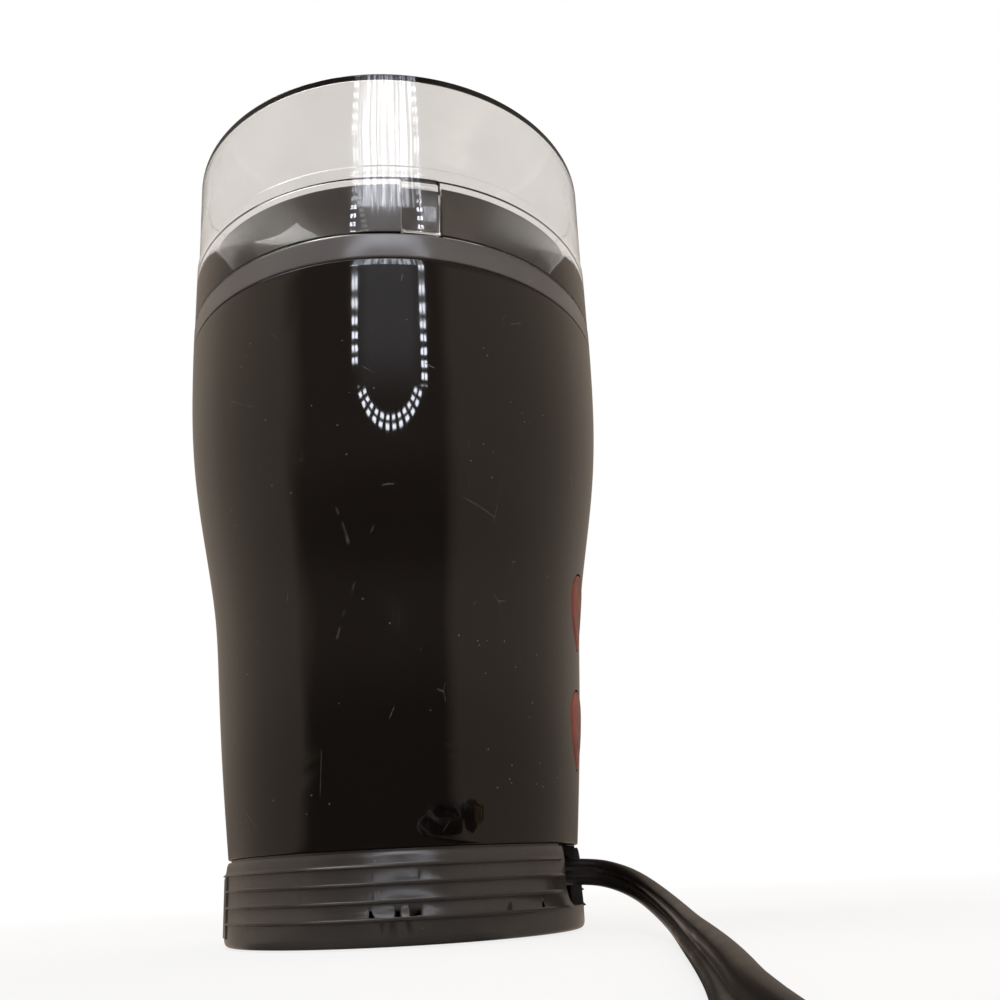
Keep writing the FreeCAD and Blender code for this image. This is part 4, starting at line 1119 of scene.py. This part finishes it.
@dataclass
class Lid:
    """The clear lid with its ring, rim band and key."""

    def build(self) -> None:
        """Makes the lid."""
        section = [(50.6, 150.7, 0.2), (52.55, 150.7, 0.4), (52.55, 168.2, 0.2),
                   (52.15, 168.7, 0.15), (52.2, 180.0), (52.3, 194.4, 0.35),
                   (32.0, 194.4, 1.0), (27.0, 193.7, 1.0), (0.0, 193.7),
                   (0.0, 192.6), (27.0, 192.6, 1.0), (32.0, 193.3, 1.0),
                   (50.7, 193.5, 0.3), (50.5, 178.0), (50.3, 166.3, 0.2),
                   (50.6, 165.6, 0.2)]
        piece = keep("lid_moulding", spun(section), LID_CLEAR)
        key = block((47.3, -4.4, 152.2), (51.6, 4.4, 166.4), KEY_BEARING, 0.8)
        carve(piece, key, Cut.JOIN)
        settle(piece, Body.LID, "lid_clear", "lid")


@dataclass
class Bowl:
    """The deep-drawn steel bowl, its blade and the nut on the shaft."""

    def build(self) -> None:
        """Makes the bowl, the blade and the nut."""
        section = [(5.5, 139.3, 0.2), (10.2, 139.3, 0.8), (12.5, 136.8, 0.8),
                   (44.0, 136.8, 9.9), (44.0, 165.8, 0.5), (46.6, 165.8, 0.3),
                   (46.6, 165.0), (44.8, 165.0, 0.3), (44.8, 136.0, 10.6),
                   (12.0, 136.0, 0.6), (9.7, 138.5, 0.6), (5.5, 138.5)]
        piece = keep("steel_bowl", spun(section, 192), BOWL_STEEL)
        settle(piece, Body.HOUSING, "bowl_steel", "grinding_bowl")
        settle(self.blade(), Body.ROTOR, "blade_steel", "blade")
        nut = copied("blade_nut", "cap_nut", NUT_STEEL, 28.0, 0.15)
        settle(nut, Body.ROTOR, "shaft_steel", "blade_nut")

    def blade(self) -> bpy.types.Object:
        """The two-armed blade as one bent, twisted strip with ground edges."""
        level, half_sheet, tip, hub, count = 142.3, 0.7, 32.5, 11.0, 26
        mesh = bmesh.new()
        loops = []
        for step in range(-count, count + 1):
            reach = tip * step / count
            arm = max(0.0, (abs(reach) - hub) / (tip - hub))
            lift = 1.0 if reach > 0 else 0.62
            side = 1.0 if reach >= 0 else -1.0
            half = (12.5 - 5.5 * arm) / 2
            rise = 6.8 * lift * arm ** 1.6
            pitch = math.radians(17.0 * arm)
            ring = []
            for across, up in ((-half, -half_sheet), (half - 2.2, -half_sheet),
                               (half - 0.2, half_sheet - 0.3), (half, half_sheet - 0.05),
                               (half - 0.3, half_sheet), (-half, half_sheet)):
                y = across * math.cos(pitch) - up * math.sin(pitch)
                z = across * math.sin(pitch) + up * math.cos(pitch)
                spot = Vector((reach, side * y, level + rise + z))
                ring.append(mesh.verts.new(spot * MM))
            if side < 0:
                ring = [ring[index] for index in (1, 0, 5, 4, 3, 2)]
            loops.append(ring)
        return self.join_arms(mesh, loops, count)

    def join_arms(self, mesh: bmesh.types.BMesh, loops: list,
                  middle: int) -> bpy.types.Object:
        """Joins the rings of each arm and the disc between them."""
        for group in (loops[:middle - 3], loops[middle + 4:]):
            for ring in group:
                for first, second in zip(ring, ring[1:] + ring[:1]):
                    mesh.edges.new((first, second))
            for before, after in zip(group, group[1:]):
                count = len(before)
                edges = [mesh.edges.get((loop[index], loop[(index + 1) % count]))
                         for loop in (before, after) for index in range(count)]
                bmesh.ops.bridge_loops(mesh, edges=edges)
            mesh.faces.new(group[0])
            mesh.faces.new(group[-1])
        loose = [vertex for ring in loops[middle - 3:middle + 4] for vertex in ring]
        bmesh.ops.delete(mesh, geom=loose, context="VERTS")
        bmesh.ops.recalc_face_normals(mesh, faces=list(mesh.faces))
        piece = keep("grinding_blade", mesh, BLADE_STEEL, 24.0)
        return carve(piece, post(7.4, 141.6, 143.0, segments=96), Cut.JOIN, 24.0)


@dataclass
class Inside:
    """The inner nodes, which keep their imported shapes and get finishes."""

    finishes: tuple = (
        (PlainMetal("shaft_steel", (0.56, 0.56, 0.55), 0.25), ("motor_shaft",)),
        (Layered("lamination", (0.2, 0.21, 0.22), 0.45, 0.6),
         ("rotor_core", "stator_core")),
        (Layered("copper_wire", (0.5, 0.17, 0.07), 0.38, 0.55),
         ("armature_winding", "field_coils")),
        (TurnedSteel("commutator_copper", (0.72, 0.36, 0.2), 0.3), ("commutator",)),
        (MouldedPlastic("fan_nylon", (0.09, 0.09, 0.09), 0.45), ("cooling_fan",)),
        (PlainMetal("strap_zinc", (0.56, 0.56, 0.52), 0.36, (0.1, 1.0, 1.0)),
         ("lower_bearing_bracket", "upper_bearing_bracket", "motor_bolts", "motor_nuts",
          "spacer_tubes")),
        (PlainMetal("bush_bronze", (0.6, 0.38, 0.16), 0.4),
         ("lower_bush", "upper_bush", "brush_holders")),
        (SoftSheath("washer_rubber", (0.04, 0.04, 0.04), 0.7),
         ("damping_washers", "shaft_seal")),
        (MouldedPlastic("brush_board", (0.3, 0.17, 0.08), 0.6), ("brush_plate",)),
        (MouldedPlastic("brush_carbon", (0.03, 0.03, 0.032), 0.55), ("carbon_brushes",)),
        (Layered("spring_steel", (0.42, 0.42, 0.41), 0.3, 0.9, metallic=1.0),
         ("interlock_spring",)),
        (Layered("button_spring_steel", (0.42, 0.42, 0.41), 0.3, 0.9, (0.0, 1.0, 0.0), 1.0),
         ("upper_button_spring", "lower_button_spring")),
        (Layered("brush_spring_steel", (0.42, 0.42, 0.41), 0.3, 0.7, (1.0, 0.0, 0.0), 1.0),
         ("brush_springs",)),
        (MouldedPlastic("switch_case", (0.05, 0.05, 0.055), 0.5),
         ("upper_switch", "lower_switch", "interlock_switch")),
        (MouldedPlastic("natural_nylon", (0.62, 0.6, 0.55), 0.42),
         ("upper_switch_plunger", "lower_switch_plunger", "blade_hub", "interlock_rod")),
        (MouldedPlastic("bracket_nylon", (0.2, 0.2, 0.2), 0.5),
         ("switch_bracket", "motor_carrier")),
        (SCREW_STEEL, ("bracket_screws", "carrier_screws")),
        (CORD_BLACK, ("internal_lead",)),
    )

    def build(self) -> None:
        """Gives each inner node its finish."""
        for finish, nodes in self.finishes:
            for node in nodes:
                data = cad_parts[node].data
                data.materials.clear()
                data.materials.append(finish.make())
                LOG.info("%s: %s", node, finish.name)


@dataclass
class Studio:
    """Pale floor, white surroundings and soft panels of light.

    Directions are given in degrees: their bearing from the photograph's camera,
    whose own bearing about Z is facing, in radians, and their rise over the
    horizon. Edges are pairs: where a panel's light starts and where it is full.
    """

    floor_size: float = 3.0
    facing: float = math.radians(199.5)
    warm: Colour = (1.0, 0.83, 0.68)
    cool: Colour = (0.86, 0.9, 1.0)
    right_edge: Corner = (22.0, 34.0)
    left_edge: Corner = (-50.0, -66.0)
    lamp_bearing: float = -3.3
    arc_rise: float = 18.4
    arc_reach: Corner = (14.0, 8.2)
    column_side: float = 17.9
    bulb_power: float = 26.0

    def build(self) -> None:
        """Makes the floor, the world and the lamp."""
        self.floor()
        self.world()
        self.lamp("key", (-0.2, 0.5, 1.45), 0.7, 6.8)
        bpy.context.scene.view_settings.view_transform = "Standard"

    def floor(self) -> None:
        """The pale floor, white where the camera sees it, with its shadow, and a painted dim
        glow in reflections.
        """
        material = bpy.data.materials.new("pale_floor")
        nodes = Nodes(material)
        marks = nodes.spread(nodes.noise(14.0, 5.0), 0.3, 0.7)
        nodes.set(Base_Color=nodes.mix(marks, (0.84, 0.84, 0.84), (0.87, 0.87, 0.87)),
                  Roughness=0.6, Specular_IOR_Level=0.1)
        plain = Wire(nodes, nodes.shader.outputs[0])
        glow = nodes.add("ShaderNodeEmission", {}, {"Color": (1, 1, 1), "Strength": 1.0})
        x, y, _ = nodes.parts(nodes.place)
        far = nodes.spread((x * x + y * y) ** 0.5, 0.1, 0.6, 0.8, 1.0)
        share = nodes.seen("Is Camera Ray", "Is Transmission Ray") * far
        blend = nodes.add("ShaderNodeMixShader", {}, {0: share, 1: plain, 2: glow})
        bearing = self.bearing(nodes, x, y)
        right, left = self.sides(nodes, bearing)
        # Painted reflection: glossy rays see a dim warm glow, brighter towards the two side
        # panels, in place of the lit floor.
        painted_reflection_glow = nodes.add("ShaderNodeEmission", {}, {
            "Color": self.warm, "Strength": 0.09 + right * 0.36 + left * 0.4})
        nodes.finish(nodes.add("ShaderNodeMixShader", {}, {
            0: nodes.seen("Is Glossy Ray"), 1: blend, 2: painted_reflection_glow}))
        mesh = bmesh.new()
        bmesh.ops.create_grid(mesh, x_segments=1, y_segments=1, size=self.floor_size)
        data = bpy.data.meshes.new("floor")
        mesh.to_mesh(data)
        mesh.free()
        data.materials.append(material)
        floor = linked("floor", data)

    def world(self) -> None:
        """White to the camera and through clear plastic, and lit panels for the rest."""
        world = bpy.data.worlds.new("surroundings")
        nodes = Nodes(world)
        x, y, z = nodes.parts(nodes.place)
        bearing = self.bearing(nodes, x, y)
        rise = z.maths("ARCSINE", z) * math.degrees(1.0)
        low = nodes.spread(rise, 34.0, 42.0, 1.0, 0.3)
        right, left = self.sides(nodes, bearing)
        edge = nodes.spread(bearing, 96.0, 118.0) * (1.0 - nodes.seen("Is Glossy Ray"))
        above = nodes.spread(rise, 52.0, 68.0)
        base = nodes.spread(rise, 0.0, 8.0, 0.09, 0.2)
        level = base + (right * 0.38 + left * 0.42) * low + edge * 0.9 + above * 0.3
        panel = nodes.add("ShaderNodeBackground", {},
                          {"Color": self.warm, "Strength": level})
        tube = nodes.add("ShaderNodeBackground", {}, {
            "Color": self.cool, "Strength": self.bulbs(nodes, bearing, rise)})
        lit = nodes.add("ShaderNodeAddShader", {}, {0: panel, 1: tube})
        steep = nodes.spread(rise.maths("ABSOLUTE", rise), 47.0, 60.0, 1.0, 0.15)
        plain = steep.maths("MAXIMUM", steep, nodes.seen("Is Camera Ray"))
        white = nodes.add("ShaderNodeBackground", {},
                          {"Color": (1, 1, 1), "Strength": plain})
        front = nodes.spread(bearing.maths("ABSOLUTE", bearing), 55.0, 80.0, 1.0, 0.0)
        lit_side = front * nodes.spread(rise, 8.0, 14.0)
        through = nodes.seen("Is Transmission Ray") * (1.0 - lit_side)
        share = through.maths("MAXIMUM", through, nodes.seen("Is Camera Ray"))
        nodes.finish(nodes.add("ShaderNodeMixShader", {}, {0: share, 1: lit, 2: white}))
        bpy.context.scene.world = world

    def bearing(self, nodes: Nodes, x: Wire, y: Wire) -> Wire:
        """Degrees to the side of the photograph's camera, for a place or direction."""
        ahead = x * math.cos(self.facing) + y * math.sin(self.facing)
        aside = y * math.cos(self.facing) - x * math.sin(self.facing)
        return aside.maths("ARCTAN2", aside, ahead) * math.degrees(1.0)

    def sides(self, nodes: Nodes, bearing: Wire) -> tuple[Wire, Wire]:
        """Shares of the two soft side panels, right then left, with uneven edges."""
        ripple = (nodes.noise(2.6, 2.0) - 0.5) * 26.0
        fade = nodes.spread(bearing.maths("ABSOLUTE", bearing), 115.0, 165.0, 1.0, 0.22)
        return (nodes.spread(bearing + ripple * 0.5, *self.right_edge) * fade,
                nodes.spread(bearing + ripple, *self.left_edge) * fade)

    def bulbs(self, nodes: Nodes, bearing: Wire, rise: Wire) -> Wire:
        """Strength of a lamp that hangs in front: two rows of small bulbs in a U.

        Its columns stand on both sides, with a soft glow and a striped bank
        between them.

        Args:
            nodes: The world's nodes.
            bearing: Degrees to the side of the photograph's camera.
            rise: Degrees over the horizon.

        Returns:
            The strength of the light from that direction.
        """
        aside = bearing - self.lamp_bearing
        reach_wide, reach_tall = self.arc_reach
        wide, tall = aside / reach_wide, (rise - self.arc_rise) / reach_tall
        reach = (wide * wide + tall * tall) ** 0.5
        ring = (reach - 1.09).maths("ABSOLUTE", reach - 1.09)
        rows = (ring - 0.09).maths("ABSOLUTE", ring - 0.09)
        rows = nodes.spread(rows, 0.03, 0.07, 1.0, 0.0)
        swing = tall.maths("ARCTAN2", tall, wide) * 29.0
        beads = nodes.spread(swing.maths("SINE", swing), -0.35, 0.35)
        arc = rows * beads * nodes.spread(tall, -0.35, -0.2, 1.0, 0.0)
        arc = arc * nodes.spread(rise, 8.0, 8.3)
        away = aside.maths("ABSOLUTE", aside)
        side = away - self.column_side
        pair = side.maths("ABSOLUTE", side) - 0.85
        line = nodes.spread(pair.maths("ABSOLUTE", pair), 0.45, 0.8, 1.0, 0.0)
        right = aside > 0.0
        climb = rise * 2.75 + right * 1.6
        steps = nodes.spread(climb.maths("SINE", climb), -0.3, 0.35)
        foot = nodes.spread(rise + right * 4.4, 20.6, 21.2)
        columns = line * steps * foot * nodes.spread(rise, 34.0, 38.0, 1.0, 0.2)
        inside = nodes.spread(away, 9.0, 22.0, 1.0, 0.0)
        glow = nodes.spread(rise, 11.0, 27.0) * nodes.spread(rise, 56.0, 64.0, 0.6, 0.0)
        stripe = nodes.noise(0.55, 3.0, 0.7, nodes.joined(bearing, 0.0, rise * 0.04))
        bank = nodes.spread(rise, 34.3, 35.3) * nodes.spread(rise, 50.0, 56.0, 1.0, 0.0)
        bank = bank * nodes.spread(stripe, 0.44, 0.6, 1.2, 11.0)
        return (arc + columns) * self.bulb_power + inside * (glow + bank)

    def lamp(self, name: str, place: Corner, size: float, power: float) -> bpy.types.Object:
        """A soft square lamp that looks at the grinder."""
        data = bpy.data.lights.new(name, "AREA")
        data.energy, data.size = power, size
        lamp = linked(name, data)
        spot = Vector(place)
        aim = (Vector((0.0, 0.0, 0.1)) - spot).to_track_quat("-Z", "Y").to_matrix()
        lamp.matrix_world = Matrix.Translation(spot) @ aim.to_4x4()
        return lamp


def report_sizes() -> None:
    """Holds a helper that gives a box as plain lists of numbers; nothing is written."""
    def plain(box: Iterable) -> list:
        """A box as plain lists of numbers."""
        return [[float(value) for value in corner] for corner in box]


def main() -> None:
    """Builds every sub-assembly in order."""
    logging.basicConfig(level=logging.INFO, format="%(message)s")
    makers: tuple[Callable[[], Any], ...] = (
        View().build,
        MainsCord().build,
        Base().build,
        Housing().build,
        PushButton("upper_cap", BUTTON_TOPS[0], Body.UPPER_BUTTON, "upper_button").build,
        PushButton("lower_cap", BUTTON_TOPS[1], Body.LOWER_BUTTON, "lower_button").build,
        Collar().build,
        Lid().build,
        Bowl().build,
        Inside().build,
        Studio().build,
    )
    for make in makers:
        make()
    report_sizes()


if __name__ == "__main__":
    main()
